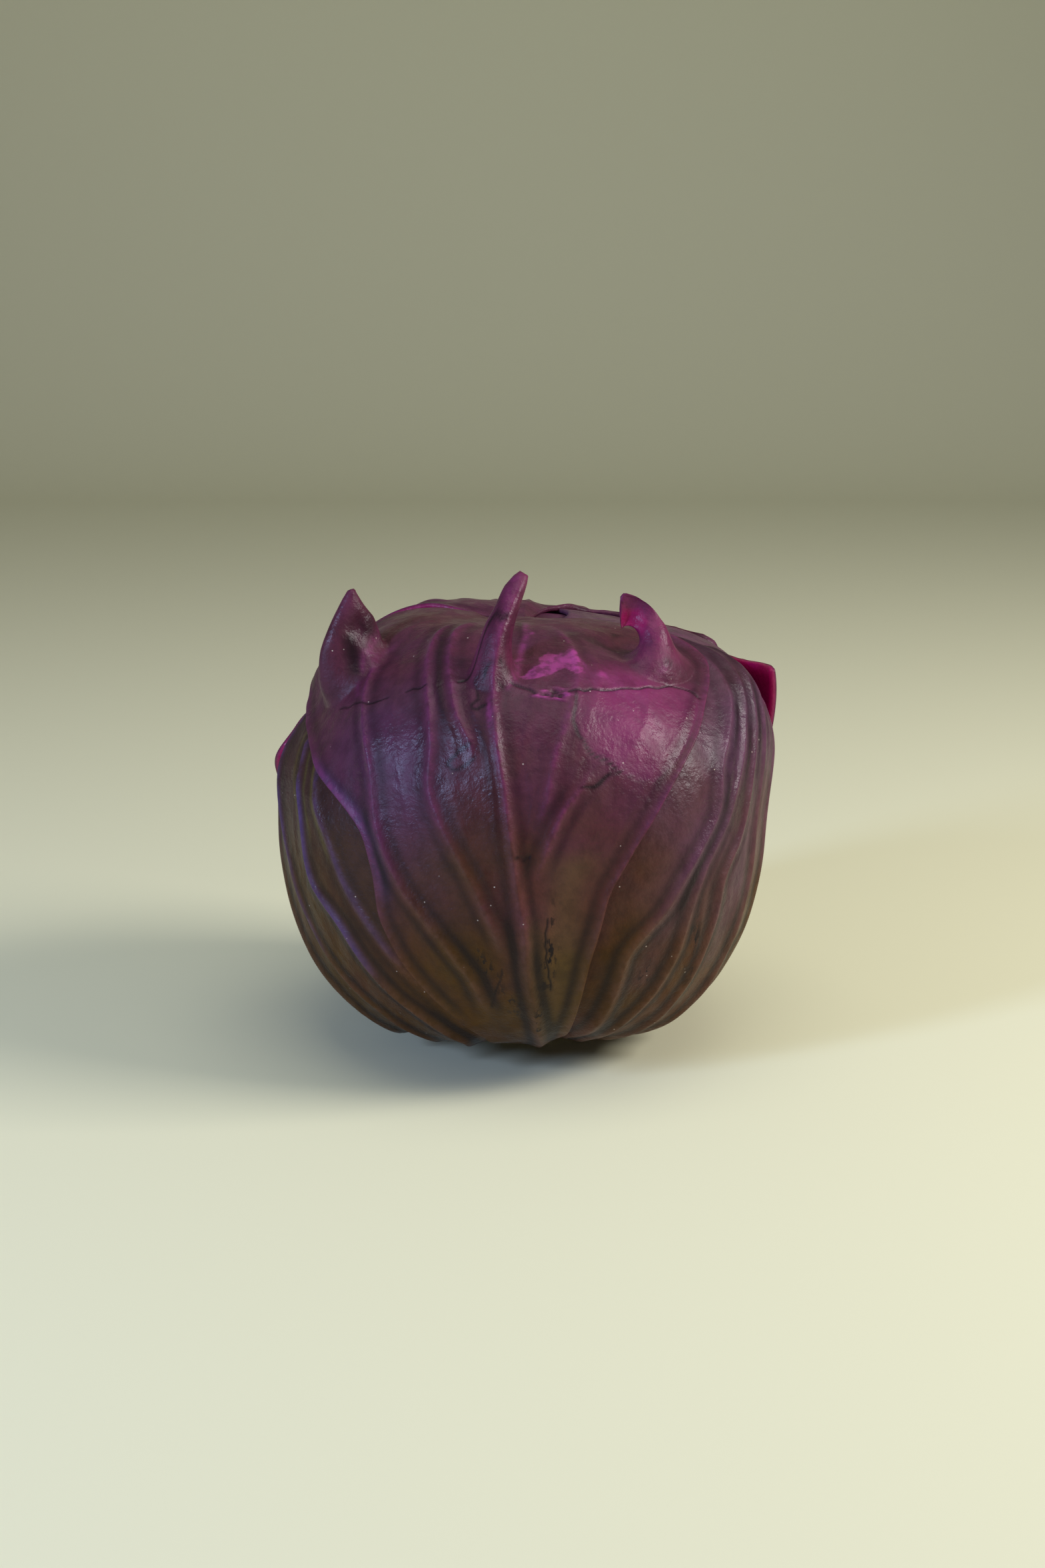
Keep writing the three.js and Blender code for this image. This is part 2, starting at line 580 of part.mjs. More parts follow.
// The tight head inside, closed below round the stem's core
function innerHeadGeometry() {
  const latitudes = spacedLatitudes([[leafFootLatitude], [-45, 3], [30, 7], [60, 5], [86, 6]]);
  const around = 48;
  const points = [];
  for (const latitude of latitudes) {
    for (let i = 0; i < around; i++) points.push(heartPoint((i * 360) / around, latitude));
  }
  const rings = latitudes.length;
  for (let i = 0; i < around; i++) points.push(ringPoint((i * 360) / around, stumpCoreRadius + 0.9, points[i].z + 0.4));
  for (let i = 0; i < around; i++) points.push(ringPoint((i * 360) / around, stumpCoreRadius + 0.9, stumpCoreTop + 0.6));
  const top = points.push(heartPoint(0, 90)) - 1;
  const pocket = points.push(new THREE.Vector3(0, 0, stumpCoreTop + 0.6)) - 1;
  const triangles = [];
  const band = (low, high) => {
    for (let i = 0; i < around; i++) {
      const j = (i + 1) % around;
      const [a, b, c, d] = [low * around + i, low * around + j, high * around + j, high * around + i];
      triangles.push(a, b, c, a, c, d);
    }
  };
  for (let ring = 0; ring + 1 < rings; ring++) band(ring, ring + 1);
  band(rings, 0);
  band(rings + 1, rings);
  for (let i = 0; i < around; i++) {
    const j = (i + 1) % around;
    triangles.push((rings - 1) * around + i, (rings - 1) * around + j, top);
    triangles.push((rings + 1) * around + j, (rings + 1) * around + i, pocket);
  }
  const geometry = new THREE.BufferGeometry();
  geometry.setAttribute("position", new THREE.Float32BufferAttribute(points.flatMap((p) => p.toArray()), 3));
  geometry.setIndex(triangles);
  geometry.computeVertexNormals();
  return geometry;
}

function heartPoint(azimuth, latitude) {
  return place(azimuth, latitude, headRadius(azimuth, latitude, 0.8) - heartDepth);
}

function ringPoint(azimuth, radius, z) {
  const a = THREE.MathUtils.degToRad(azimuth);
  return new THREE.Vector3(radius * Math.sin(a), -radius * Math.cos(a), z);
}

function stumpGeometry() {
  const outline = [
    [0, 0], [stumpRadius - 0.8, 0], [stumpRadius, 0.8], [stumpRadius, 3], [stumpCoreRadius, 4],
    [stumpCoreRadius, stumpCoreTop - 1], [stumpCoreRadius - 1.5, stumpCoreTop], [0, stumpCoreTop],
  ];
  const geometry = new THREE.LatheGeometry(outline.map(([x, y]) => new THREE.Vector2(x, y)), 48);
  return geometry.rotateX(Math.PI / 2);
}

function addMesh(group, name, geometry, colour) {
  const material = new THREE.MeshStandardMaterial({ color: colour, roughness: 0.5, metalness: 0 });
  const mesh = new THREE.Mesh(geometry, material);
  mesh.name = name;
  group.add(mesh);
}

const cabbage = new THREE.Group();
for (const leaf of [frontLeaf, leftLeaf, rightLeaf, backLeaf]) {
  addMesh(cabbage, leaf.name, leafGeometry(leaf), leaf.colour);
}
addMesh(cabbage, "inner_head", innerHeadGeometry(), 0x5a2a55);
addMesh(cabbage, "stem_stump", stumpGeometry(), 0xb9a98c);

export default cabbage;
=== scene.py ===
"""A head of red cabbage that stands on its cut stem on a pale floor.

Shapes are in millimetres and degrees, as in the part's source, and each finished mesh is scaled to
metres. A place on the head is an azimuth (0 at the front, growing to the right) and a latitude
(0 at mid height).
"""

import math

import bpy
import numpy as np
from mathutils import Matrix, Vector


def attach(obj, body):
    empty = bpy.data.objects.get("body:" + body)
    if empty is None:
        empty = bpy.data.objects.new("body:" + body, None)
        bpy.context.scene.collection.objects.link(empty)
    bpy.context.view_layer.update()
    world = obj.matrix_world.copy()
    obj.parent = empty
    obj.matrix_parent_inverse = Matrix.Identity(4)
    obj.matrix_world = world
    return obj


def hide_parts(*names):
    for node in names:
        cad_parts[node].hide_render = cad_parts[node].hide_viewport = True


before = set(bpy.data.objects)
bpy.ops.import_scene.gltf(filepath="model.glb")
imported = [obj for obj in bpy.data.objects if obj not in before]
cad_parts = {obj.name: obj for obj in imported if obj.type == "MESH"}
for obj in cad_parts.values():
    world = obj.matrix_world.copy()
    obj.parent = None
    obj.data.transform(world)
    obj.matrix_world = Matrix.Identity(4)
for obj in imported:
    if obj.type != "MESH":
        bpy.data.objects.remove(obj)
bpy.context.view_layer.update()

METRES = 0.001

# The head without its ribs; the powers say how square its outline is
HEAD_HALF_WIDTH = 71.7
CENTRE_HEIGHT = 67
CROWN_RISE = 62.4
CROWN_POWER = 2.75
FOOT_DROP = 66.6
FOOT_POWER = 2.55

# Layers of leaves, and how far covered and open parts lie below and above their layer
LEAF_THICKNESS = 1.3
LAYER_PITCH = 1.65
HEART_DEPTH = 4.1
HEART_HOLLOWS = 0.8
HIDDEN_DROP = 0.35
OPEN_LIFT = 1.2
CROWN_RAISE = 0.35
LEAF_FOOT_LATITUDE = -75.5
LOWEST_LEAF = 0.4

STUMP_RADIUS = 16.2
STUMP_CORE_RADIUS = 13
STUMP_CORE_TOP = 14
POCKET_GAP = 0.9
POCKET_HEADROOM = 0.6

# Ribs: half widths of the crest and its skirt, and their shares of the height; painted shade beside
# them
RIB_FOOT = 2
CREST_WIDTH = 1.15
CREST_SHARE = 0.66
SKIRT_WIDTH = 5
SKIRT_SHARE = 0.5
FURROW_OFFSET = 3.3
FURROW_WIDTH = 1.5
FLANK_SHADE = 0.46
# Share of paler crest towards the foot, a painted highlight
LOW_CREST_HIGHLIGHT = 0.3

# Shallow unevenness of all layers: height, length, seed
UNDULATIONS = [(0.32, 30, 3), (0.13, 12, 4)]

# Fine steps of a leaf's grid to one step of its plain inner face
INNER_STEP = 4

# The front leaf's crater, and the soft edges of its patches
CRATER = (8.6, 41.4)
CRATER_HALF_SIZE = (3.6, 1.7)
CRATER_LUMPS = [(-1.3, 0.2, 0.6), (0.2, -0.3, 0.5), (1.4, 0.3, 0.65)]
SKIN_EDGE = 0.25
PATCH_EDGE = 1.2
NEAR_SIDE = -14

# Kinds of marks that the meshes carry for their materials, some of them painted light and shade
MARKS = ("rub", "dark", "bared", "inside", "rosy", "cool", "green", "crazed")

# Camera and lights in metres; each light has its name, azimuth, elevation, distance, width and
# height, power and colour
LENS, SENSOR_WIDTH = 50, 36
CAMERA_ELEVATION = 14
CAMERA_DISTANCE = 0.655
CAMERA_AIM = (-0.0005, 0, 0.077)
LIGHTS = [
    ("right_light", 77, 34, 1.1, (0.46, 0.4), 11.0, (1.0, 0.94, 0.93)),
    ("left_light", -51, 21, 1.1, (0.13, 0.3), 8.8, (0.46, 0.6, 1.0)),
    ("top_light", 20, 78, 1.2, (0.9, 0.9), 5.2, (1.0, 0.99, 0.95)),
]
LIGHT_AIM = (0, 0, 0.07)
AMBIENT = {"Color": (1, 0.97, 0.9, 1), "Strength": 0.18}

# Wide swellings and hollows of the head: azimuth, latitude, rise, and half widths in degrees
SWELLS = [
    (-72, 32, -1.2, 24, 12), (-105, 60, 2.6, 26, 13), (-90, 40.5, 3.0, 18, 6.5),
    (70, 50, -2.6, 32, 20), (106, 43, 3.4, 24, 14), (86, 22, 4.0, 21, 12), (92, 36, 4.4, 21, 10),
    (10, 78, -0.8, 60, 12), (-106, 31, -3.4, 28, 9), (-95, 10, 1.6, 30, 14),
    (-75, -28, -0.6, 24, 12), (95, -25, -1.8, 40, 15), (0, -58, 1.0, 400, 12),
    (0, -66, -2.6, 60, 10), (12, -53, -4.0, 17, 10), (-55, -63, -2.6, 15, 8),
    (42, -64, -1.2, 9, 8),
]
HOLLOWS = [
    (-58, 47, -1.6, 5.5, 6),
    (-2, 57, -1.6, 4, 8),
    (50, 58, -2.4, 6, 5),
]

LATITUDES = np.arange(-82, 92, 0.5)


def line(*stops):
    """Azimuth at each of LATITUDES along a line of (azimuth, latitude) stops, corners rounded."""
    azimuths, latitudes = zip(*stops)
    raw = np.interp(LATITUDES, latitudes, azimuths)
    reach, softness = 12, 1.7
    weights = bell(np.arange(-reach, reach + 1) * 0.5, softness * math.sqrt(2))
    return np.convolve(np.pad(raw, reach, mode="edge"), weights / weights.sum(), mode="valid")


def bell(distance, width):
    """1 on a line, falling off softly on both sides."""
    return np.exp(-((distance / width) ** 2))


def follow(path, latitude):
    return np.interp(latitude, LATITUDES, path)


FRONT_MIDRIB = line(
    (7, -76), (6, -48), (2.5, -30), (0.5, -20), (0, -10), (-1.6, 0), (-3, 10), (-4.3, 20),
    (-6.5, 30), (-8.3, 40), (-9.5, 50), (-8, 60), (-4, 78),
)
FRONT_LEFT_MARGIN = line(
    (-9, -76), (-12, -45), (-22, -30), (-29, -20), (-34, -10), (-35, -1), (-36.3, 3), (-37.7, 7.5),
    (-40, 10), (-46, 14.5), (-54.5, 18), (-63.5, 23.5), (-74, 27), (-85, 31), (-93, 37), (-99, 45),
    (-103, 56), (-108, 66), (-110, 88),
)
FRONT_HORN_LINE = line(
    (-7, -76), (-9, -45), (-17, -30), (-23, -20), (-27.5, -10), (-30.5, -1), (-33, 4), (-36, 10),
    (-40, 16), (-47, 23), (-55, 31), (-61, 39), (-64, 45), (-67, 55), (-72, 78),
)
RIB_1 = line(
    (-4.5, -76), (-5, -45), (-9, -32), (-12, -22), (-17, -15.5), (-22, -9.5), (-26.5, -4.5),
    (-28.5, -1.5), (-30.5, 2.5), (-33.5, 8.5), (-35, 13), (-37, 21.5), (-40.5, 27.5), (-46, 34),
    (-53, 41.5), (-58, 48), (-62, 60), (-66, 78),
)
RIB_2 = line(
    (-1.5, -76), (-1.5, -45), (-3, -30), (-4.5, -18), (-6, -11), (-8, -7), (-11.5, 0.5), (-15.7, 7.5),
    (-19.6, 14.3), (-22, 20), (-22.3, 28), (-25, 36), (-32, 47), (-37, 52), (-44, 60), (-50, 78),
)
RIB_3 = line(
    (2, -76), (1.5, -45), (-0.5, -30), (-2, -18), (-4, -5), (-7, 8), (-10, 20), (-12.8, 29.5),
    (-18, 36.5), (-22, 44), (-28.5, 52.5), (-37, 62.5), (-42, 78),
)
VEIN_1 = line(
    (9.5, -76), (7.6, -48), (4.2, -30), (2.2, -20), (1.6, -10), (0.6, 0), (3, 12), (5, 18),
    (7.5, 28), (10.5, 34), (15, 42), (19, 50), (22, 60), (26, 78),
)
RIB_4 = line(
    (12, -76), (9, -48), (6, -30), (4, -20), (3.2, -10), (2.6, 1), (4.6, 7), (8, 15),
    (12.5, 20), (16.5, 25), (23, 33), (31, 42), (38, 52), (44, 62), (52, 78),
)
FRONT_HOOK_LINE = line(
    (13.5, -76), (10, -46), (8.5, -30), (7.5, -20), (8, -10), (9.5, 0), (15, 10), (23, 20),
    (34, 30), (48, 40), (57, 48), (62, 56), (66, 78),
)
FRONT_RIGHT_MARGIN = line(
    (15, -76), (11, -46), (12.5, -33), (14.5, -18), (16.8, -9.5), (18.5, -2.5), (22, 3), (25, 7.5),
    (29.5, 13), (33, 17.5), (39.5, 23.5), (46, 28.5), (54, 34.5), (64, 39), (70.5, 43), (76, 49),
    (82, 56), (87, 64), (92, 88),
)

# Left leaf, from its hidden back margin to the margin under the front leaf
LEFT_BACK_MARGIN = line((-172, -76), (-168, -45), (-150, -15), (-142, 10), (-150, 60))
LEFT_RIBS = [
    line((-130, -76), (-118, -55), (-114, -35), (-115, -10), (-120, 20), (-128, 60)),
    line((-100, -76), (-84, -55), (-88, -40), (-97, -20), (-103, 5), (-110, 35), (-114, 60)),
    line((-70, -76), (-56, -52), (-66, -38), (-78, -22), (-87, -5), (-93, 15), (-99, 35), (-101, 60)),
    line(
        (-44, -76), (-35, -50), (-46, -38), (-58, -26), (-68, -13), (-75, -2), (-79, 10), (-84, 22),
        (-88, 60),
    ),
    line(
        (-27, -76), (-20, -48), (-25, -40), (-36, -29), (-43.5, -20), (-48, -14), (-57, -8),
        (-60, -1.5), (-62, 6), (-67, 16), (-71, 26), (-74, 60),
    ),
    line(
        (-17, -76), (-13, -45), (-22, -32), (-32, -21), (-40, -12), (-46, -4), (-50, 4), (-56, 12),
        (-62, 25), (-66, 60),
    ),
]
LEFT_FRONT_MARGIN = line(
    (-9, -76), (-5, -45), (-10, -30), (-18, -15), (-27, 0), (-36, 15), (-52, 30), (-58, 60)
)

# Right leaf, from the margin under the front leaf to its hidden back margin
RIGHT_FRONT_MARGIN = line(
    (6, -76), (2, -45), (4, -30), (9, -15), (14, 0), (24, 15), (39, 30), (58, 46), (66, 64)
)
RIGHT_RIBS = [
    line(
        (16, -76), (15, -50), (19.5, -40), (22.5, -27), (23.5, -18), (28, -13), (33, -9), (38, -1.5),
        (42, 3), (49, 11), (52, 21), (60, 27.5), (67, 33), (73, 41), (80, 52), (86, 66),
    ),
    line(
        (26, -76), (23, -50), (27, -41), (34.5, -30), (38.5, -19.5), (41, -7), (45, 0), (51, 7),
        (57, 15), (64, 23), (72, 32), (79, 42), (87, 54), (93, 66),
    ),
    line(
        (38, -76), (35, -52), (42, -41), (46.5, -30), (50, -15), (51, -5), (58.5, 3), (62, 10),
        (68, 20), (75, 30), (83, 41), (92, 54), (98, 66),
    ),
    line(
        (54, -76), (50, -54), (57, -42), (61, -30), (65, -15), (68, 0), (72, 12), (77, 24),
        (84, 36), (95, 54), (103, 66),
    ),
    line(
        (76, -76), (70, -54), (75, -40), (78, -25), (79, -8), (82, 8), (86, 24), (93, 38),
        (102, 54), (109, 66),
    ),
    line(
        (105, -76), (98, -54), (99, -40), (97, -25), (95, -5), (99, 15), (104, 35), (112, 54),
        (118, 66),
    ),
]
RIGHT_BACK_MARGIN = line(
    (172, -76), (160, -45), (138, -15), (130, 10), (136, 35), (148, 54), (160, 68)
)

# Back leaf, from its flared right margin to its left margin
BACK_RIGHT_MARGIN = line(
    (160, -76), (134, -45), (116, -22), (104, -5), (96, 10), (91, 25), (88, 38), (89, 50),
    (94, 64), (96, 88),
)
BACK_MIDRIB = line((180, -76), (179, -30), (177, 0), (180, 30), (176, 78))
BACK_LEFT_MARGIN = line(
    (200, -76), (222, -45), (238, -22), (249, -6), (260, 7), (267, 15), (264, 21), (254, 28),
    (248, 36), (246, 50), (247, 66), (248, 88)
)

# Side ribs of the back leaf: share of the way to the margin, latitude where each leaves the midrib
BACK_RIBS_RIGHT = [(0.8, -60), (0.54, -48), (0.28, -30)]
BACK_RIBS_LEFT = [(0.28, -38), (0.54, -52), (0.8, -62)]

# Tips of the front leaf: where each grows; its reach on the head to the left, right, below and
# above; how far its sections lean along the tip, outer and inner side; how far it turns to the
# right; the curve that it follows; half widths at shares of the way, to the left, right, outer
# and inner side; how square its sections are; and its blush: strength, start and end of the way
LEFT_TIP = {
    "foot": (-66, 45),
    "reach": (10, 10, 17, 10),
    "tilt": (1.3, 0.5),
    "twist": 0,
    "curve": ((-50.5, -24, 121.5), (-50.6, -23.5, 128), (-50, -22.3, 134), (-48.9, -22, 140)),
    "widths": (
        (0, 8, 8, 11, 9.5), (0.25, 6, 4.8, 9.6, 9.3), (0.5, 4, 3.2, 6.8, 6.6),
        (0.75, 2.3, 2.2, 3.4, 3.7), (0.9, 1.4, 1.4, 1.7, 1.9), (1, 0.7, 0.7, 0.7, 0.7),
    ),
    "corner": 1.8,
    "blush": (0.15, 0.5, 1),
}
MIDDLE_TIP = {
    "foot": (-9, 48),
    "reach": (9, 7, 9, 8),
    "tilt": (0.9, 0.5),
    "twist": 0,
    "curve": ((-7.9, -48, 121.5), (-6.8, -47, 130), (-3.2, -41.5, 138.5), (0.4, -36, 147)),
    "widths": (
        (0, 8, 3.6, 8, 6), (0.3, 6.4, 2.4, 4.6, 4.8), (0.6, 4.6, 2, 3, 3.2),
        (0.8, 4.2, 1.9, 2.3, 2.3), (0.93, 2.6, 1.6, 1.6, 1.6), (1, 1.1, 0.9, 0.9, 0.9),
    ),
    "corner": 1.9,
    "blush": (0.22, 0.05, 0.35),
}
HOOK_TIP = {
    "foot": (54, 50),
    "reach": (13, 14, 12, 8),
    "tilt": (0.7, 0.4),
    "twist": 46,
    "curve": ((40, -31, 117), (36, -26, 131), (32.5, -26.5, 135), (26.6, -28.5, 134.5)),
    "widths": (
        (0, 11, 12, 12, 9), (0.15, 8.4, 8, 7.6, 6.2), (0.3, 4.6, 4.4, 5, 2.4),
        (0.5, 1.4, 2.6, 4, 3.6), (0.75, -1.2, 2.4, 4, 5.4), (0.92, -0.8, 1.9, 4.8, 5),
        (1, 0.4, 0.6, 4.8, 3.8),
    ),
    "corner": 2.2,
    "blush": (0.5, 0.1, 0.4),
}

# Dents of the finished front leaf, beside the tips: centre, radius and push, in millimetres
DENTS = [
    ((-41.5, -23, 127), 5.4, (0.2, 1.6, -0.8)),
    ((-40, -25, 122.5), 6, (-0.3, 1.8, -0.8)),
    ((-60, -3, 110.5), 7, (-2.0, 0, 0)),
    ((-58, -20, 113), 6, (-1.2, -0.6, 0)),
    ((-46.5, -28, 129.5), 3.6, (0.6, 2.8, -1.4)),
    ((-48.5, -33, 122), 4.6, (0.8, 3.4, -1.0)),
    ((0.2, -46, 129), 3.2, (-0.6, 3.0, -1.0)),
    ((-0.5, -49, 123), 3.0, (-0.4, 2.2, -1.0)),
    ((31, -31, 125), 4.5, (-0.4, 1.4, -1.8)),
    ((31, -29.5, 131.6), 3.0, (0, 1.6, 0)),
]


def smooth_step(low, high, value):
    t = np.clip((value - low) / (high - low), 0, 1)
    return t * t * (3 - 2 * t)


def mix(a, b, share):
    return a + (b - a) * share


def turn(azimuth):
    return (azimuth + 180) % 360 - 180


def plain_radius(latitude):
    t = np.radians(latitude)
    rise = np.where(latitude > 0, CROWN_RISE, FOOT_DROP)
    power = np.where(latitude > 0, CROWN_POWER, FOOT_POWER)
    across = (np.abs(np.cos(t)) / HEAD_HALF_WIDTH) ** power
    along = (np.abs(np.sin(t)) / rise) ** power
    return (across + along) ** (-1 / power)


def bump_at(azimuth, latitude, bump, widen=1):
    a0, l0, rise, wide_a, wide_l = bump
    across = turn(azimuth - a0) * np.cos(np.radians(latitude)) / (wide_a * widen)
    along = (latitude - l0) / (wide_l * widen)
    return rise * np.exp(-(across**2) - along**2)


def place(azimuth, latitude, radius):
    a, t = np.radians(azimuth), np.radians(latitude)
    flat = radius * np.cos(t)
    return np.stack([flat * np.sin(a), -flat * np.cos(a), CENTRE_HEIGHT + radius * np.sin(t)], -1)


def waves(points, length, seed):
    """Smooth random relief, about -1.5 to 1.5, with bulges about half of length across."""
    random = np.random.default_rng(seed)
    total = np.zeros(points.shape[:-1])
    for _ in range(10):
        heading = random.normal(size=3)
        heading *= 2 * math.pi * random.uniform(0.7, 1.4) / length / np.linalg.norm(heading)
        total += np.cos(points @ heading + random.uniform(0, 2 * math.pi))
    return total / 3.2


def undulation(azimuth, latitude):
    """Shallow unevenness that all layers share, longer up the head than across."""
    points = place(azimuth, latitude, plain_radius(latitude)) * (1, 1, 0.5)
    return sum(height * waves(points, length, seed) for height, length, seed in UNDULATIONS)


def head_radius(azimuth, latitude, deep=0):
    """Radius of the outermost layer without its ribs; deep widens the hollows for a layer below."""
    radius = plain_radius(latitude)
    for swell in SWELLS:
        radius = radius + bump_at(azimuth, latitude, swell)
    for hollow in HOLLOWS:
        radius = radius + bump_at(azimuth, latitude, hollow, 1 + deep) * (1 + 0.3 * deep)
    return radius + undulation(azimuth, latitude)


def millimetres_per_degree(latitude):
    t = np.radians(latitude)
    return plain_radius(latitude) * np.cos(t) * math.pi / 180


def offset_from(path, azimuth, latitude):
    """Millimetres from a line to a place, positive to its right."""
    slope = (follow(path, latitude + 2) - follow(path, latitude - 2)) / 4
    lean = np.arctan(slope * np.cos(np.radians(latitude)))
    return turn(azimuth - follow(path, latitude)) * millimetres_per_degree(latitude) * np.cos(lean)


def rib(path, height, start=-80, end=80, swell=0, rub=0.2):
    """A rib along a line between two latitudes; swell thickens it, rub pales its crest as rub and
    highlight.
    """
    return path, height, start, end, swell, rub


def rib_layers(path, height, start, end, swell, rub, azimuth, latitude):
    """A rib's height, its share of paler crest, and its share of painted shade in the furrows beside
    it.

    It is a soft crest on a wide skirt, wider and higher towards the foot, and flat at the stem.
    """
    offset = offset_from(path, azimuth, latitude)
    fade = smooth_step(-70, -52, latitude) * smooth_step(start - 3, start + 7, latitude)
    fade = fade * (1 - smooth_step(end - 7, end + 5, latitude))
    low = smooth_step(20, -50, latitude)
    crest = np.exp(-(np.abs(offset / (CREST_WIDTH + (0.6 + swell) * low)) ** 1.7))
    skirt = bell(offset, SKIRT_WIDTH + 2 * swell * low)
    rise = height * (1 + (0.15 + 0.6 * swell) * low) * (CREST_SHARE * crest + SKIRT_SHARE * skirt)
    low = smooth_step(20, -40, latitude)
    # Paler crest: rubbed skin up the head, a painted highlight towards the foot
    pale = mix(rub, LOW_CREST_HIGHLIGHT, low) * bell(offset, 1.05 + (0.7 + 0.8 * swell) * low)
    # Painted shade in the furrows beside the rib
    shade = FLANK_SHADE * (1 + 0.9 * smooth_step(15, -30, latitude)) * min(1, height)
    deep = shade * bell(np.abs(offset) - FURROW_OFFSET, FURROW_WIDTH)
    return fade * rise, fade * pale, fade * deep


def stripe(path, azimuth, latitude, width, start, end):
    """A soft stripe of colour along a line, between two latitudes."""
    offset = offset_from(path, azimuth, latitude)
    rise = smooth_step(start - 3, start + 3, latitude)
    return rise * (1 - smooth_step(end - 3, end + 3, latitude)) * bell(offset, width)


def veins_of(paths, seed):
    """Fine veins, one wandering in each gap between neighbouring lines."""
    veins = []
    for k, (left, right) in enumerate(zip(paths, paths[1:])):
        phases = np.random.default_rng(seed + 7 * k).uniform(0, 2 * math.pi, 3)
        wavelets = zip((4.5, 8, 13), phases)
        sway = sum(np.sin(LATITUDES / length + phase) for length, phase in wavelets)
        veins.append(mix(left, right, 0.5 + 0.06 * sway))
    return veins


def vein_height(path, azimuth, latitude):
    offset = offset_from(path, azimuth, latitude)
    fade = smooth_step(-45, -10, latitude) * (1 - smooth_step(58, 72, latitude))
    return fade * (0.1 * bell(offset, 0.8) + 0.14 * bell(offset, 2.4))


def columns_at(leaf, latitude):
    """Azimuths of a leaf's main columns at each latitude, with close columns beside each rib."""
    foot = RIB_FOOT / millimetres_per_degree(latitude)
    columns = []
    lines = leaf["lines"]
    for (path, sharp, _), (next_path, next_sharp, cells) in zip(lines, lines[1:]):
        a, b = follow(path, latitude), follow(next_path, latitude)
        step = np.minimum(foot, 0.3 * (b - a))
        low = a + step if sharp else a
        high = b - step if next_sharp else b
        columns.append(a)
        if sharp:
            columns.append(low)
        columns += [mix(low, high, k / cells) for k in range(1, cells)]
        if next_sharp:
            columns.append(high)
    columns.append(follow(lines[-1][0], latitude))
    return np.stack(columns)


def fine_columns(leaf):
    """Positions of the fine columns, counted in main columns."""
    sample = np.arange(-60, 62, 4.0)
    widths = np.diff(columns_at(leaf, sample), axis=0) * millimetres_per_degree(sample)
    positions = [0.0]
    for k, width in enumerate(widths.max(axis=1)):
        parts = INNER_STEP * max(1, round(width / leaf["cell"] / INNER_STEP))
        positions += [k + (i + 1) / parts for i in range(parts)]
    return np.array(positions)


def fine_rows(leaf):
    """Shares of the way up the leaf, from (latitude, rows up to here) stops."""
    stops = leaf["rows"]
    latitudes = [stops[0][0]]
    for (start, _), (end, count) in zip(stops, stops[1:]):
        latitudes += [mix(start, end, (i + 1) / count) for i in range(count)]
    latitudes = np.array(latitudes)
    return (latitudes - latitudes[0]) / (latitudes[-1] - latitudes[0])


def leaf_grid(leaf):
    """Azimuth and latitude of each point of a leaf's fine grid."""
    columns, rows = fine_columns(leaf), fine_rows(leaf)
    count = int(columns[-1])
    shares, tops = zip(*leaf["top"])
    top = np.interp(columns / count, shares, tops)
    latitude = mix(LEAF_FOOT_LATITUDE, top[None, :], rows[:, None])
    low = np.minimum(np.floor(columns).astype(int), count - 1)
    main = columns_at(leaf, latitude)
    picks = np.broadcast_to(low, latitude.shape)
    a = np.take_along_axis(main, picks[None], axis=0)[0]
    b = np.take_along_axis(main, picks[None] + 1, axis=0)[0]
    return mix(a, b, columns - low), latitude


def curve_point(curve, t):
    """Place and heading on a curve of four points, for each share of the way in t."""
    a, b, c, d = (np.array(p, float) for p in curve)
    t = t[:, None]
    ab, bc, cd = mix(a, b, t), mix(b, c, t), mix(c, d, t)
    abc, bcd = mix(ab, bc, t), mix(bc, cd, t)
    ahead = bcd - abc
    return mix(abc, bcd, t), ahead / np.linalg.norm(ahead, axis=1, keepdims=True)


def draw_out(points, azimuth, latitude, tip):
    """Draws the leaf round a tip's foot out along its curve; tells how far along each point lies."""
    x, y = flat_offsets(azimuth, latitude, tip["foot"])
    left, right, below, above = tip["reach"]
    x = x / np.where(x < 0, left, right)
    y = y / np.where(y < 0, below, above)
    t = np.clip(1 - np.hypot(x, y), 0, 1)
    power = tip["corner"]
    rim = np.maximum((np.abs(x) ** power + np.abs(y) ** power) ** (1 / power), 1e-6)
    x, y = x / rim, y / rim
    at, ahead = curve_point(tip["curve"], t)
    facing = np.radians(tip["foot"][0] + tip["twist"] * smooth_step(0, 0.5, t))
    u = np.stack([np.cos(facing), np.sin(facing), np.zeros_like(t)], -1)
    u = u - ahead * (ahead * u).sum(axis=1, keepdims=True)
    u /= np.linalg.norm(u, axis=1, keepdims=True)
    tilt = np.where(y < 0, *tip["tilt"])
    v = np.cross(ahead, u) + ahead * (tilt * (1 - t**2))[:, None]
    shares, *sides = zip(*tip["widths"])
    left, right, outer, inner = (np.interp(t, shares, side) for side in sides)
    at = at + u * (x * np.where(x < 0, left, right))[:, None]
    at = at + v * (y * np.where(y < 0, outer, inner))[:, None]
    return mix(points, at, smooth_step(0, 0.45, t)[:, None]), t


def dented(points, dents):
    for centre, radius, push in dents:
        away = np.linalg.norm(points - np.array(centre), axis=1) / radius
        points = points + np.exp(-(away**2))[:, None] * np.array(push)
    return points


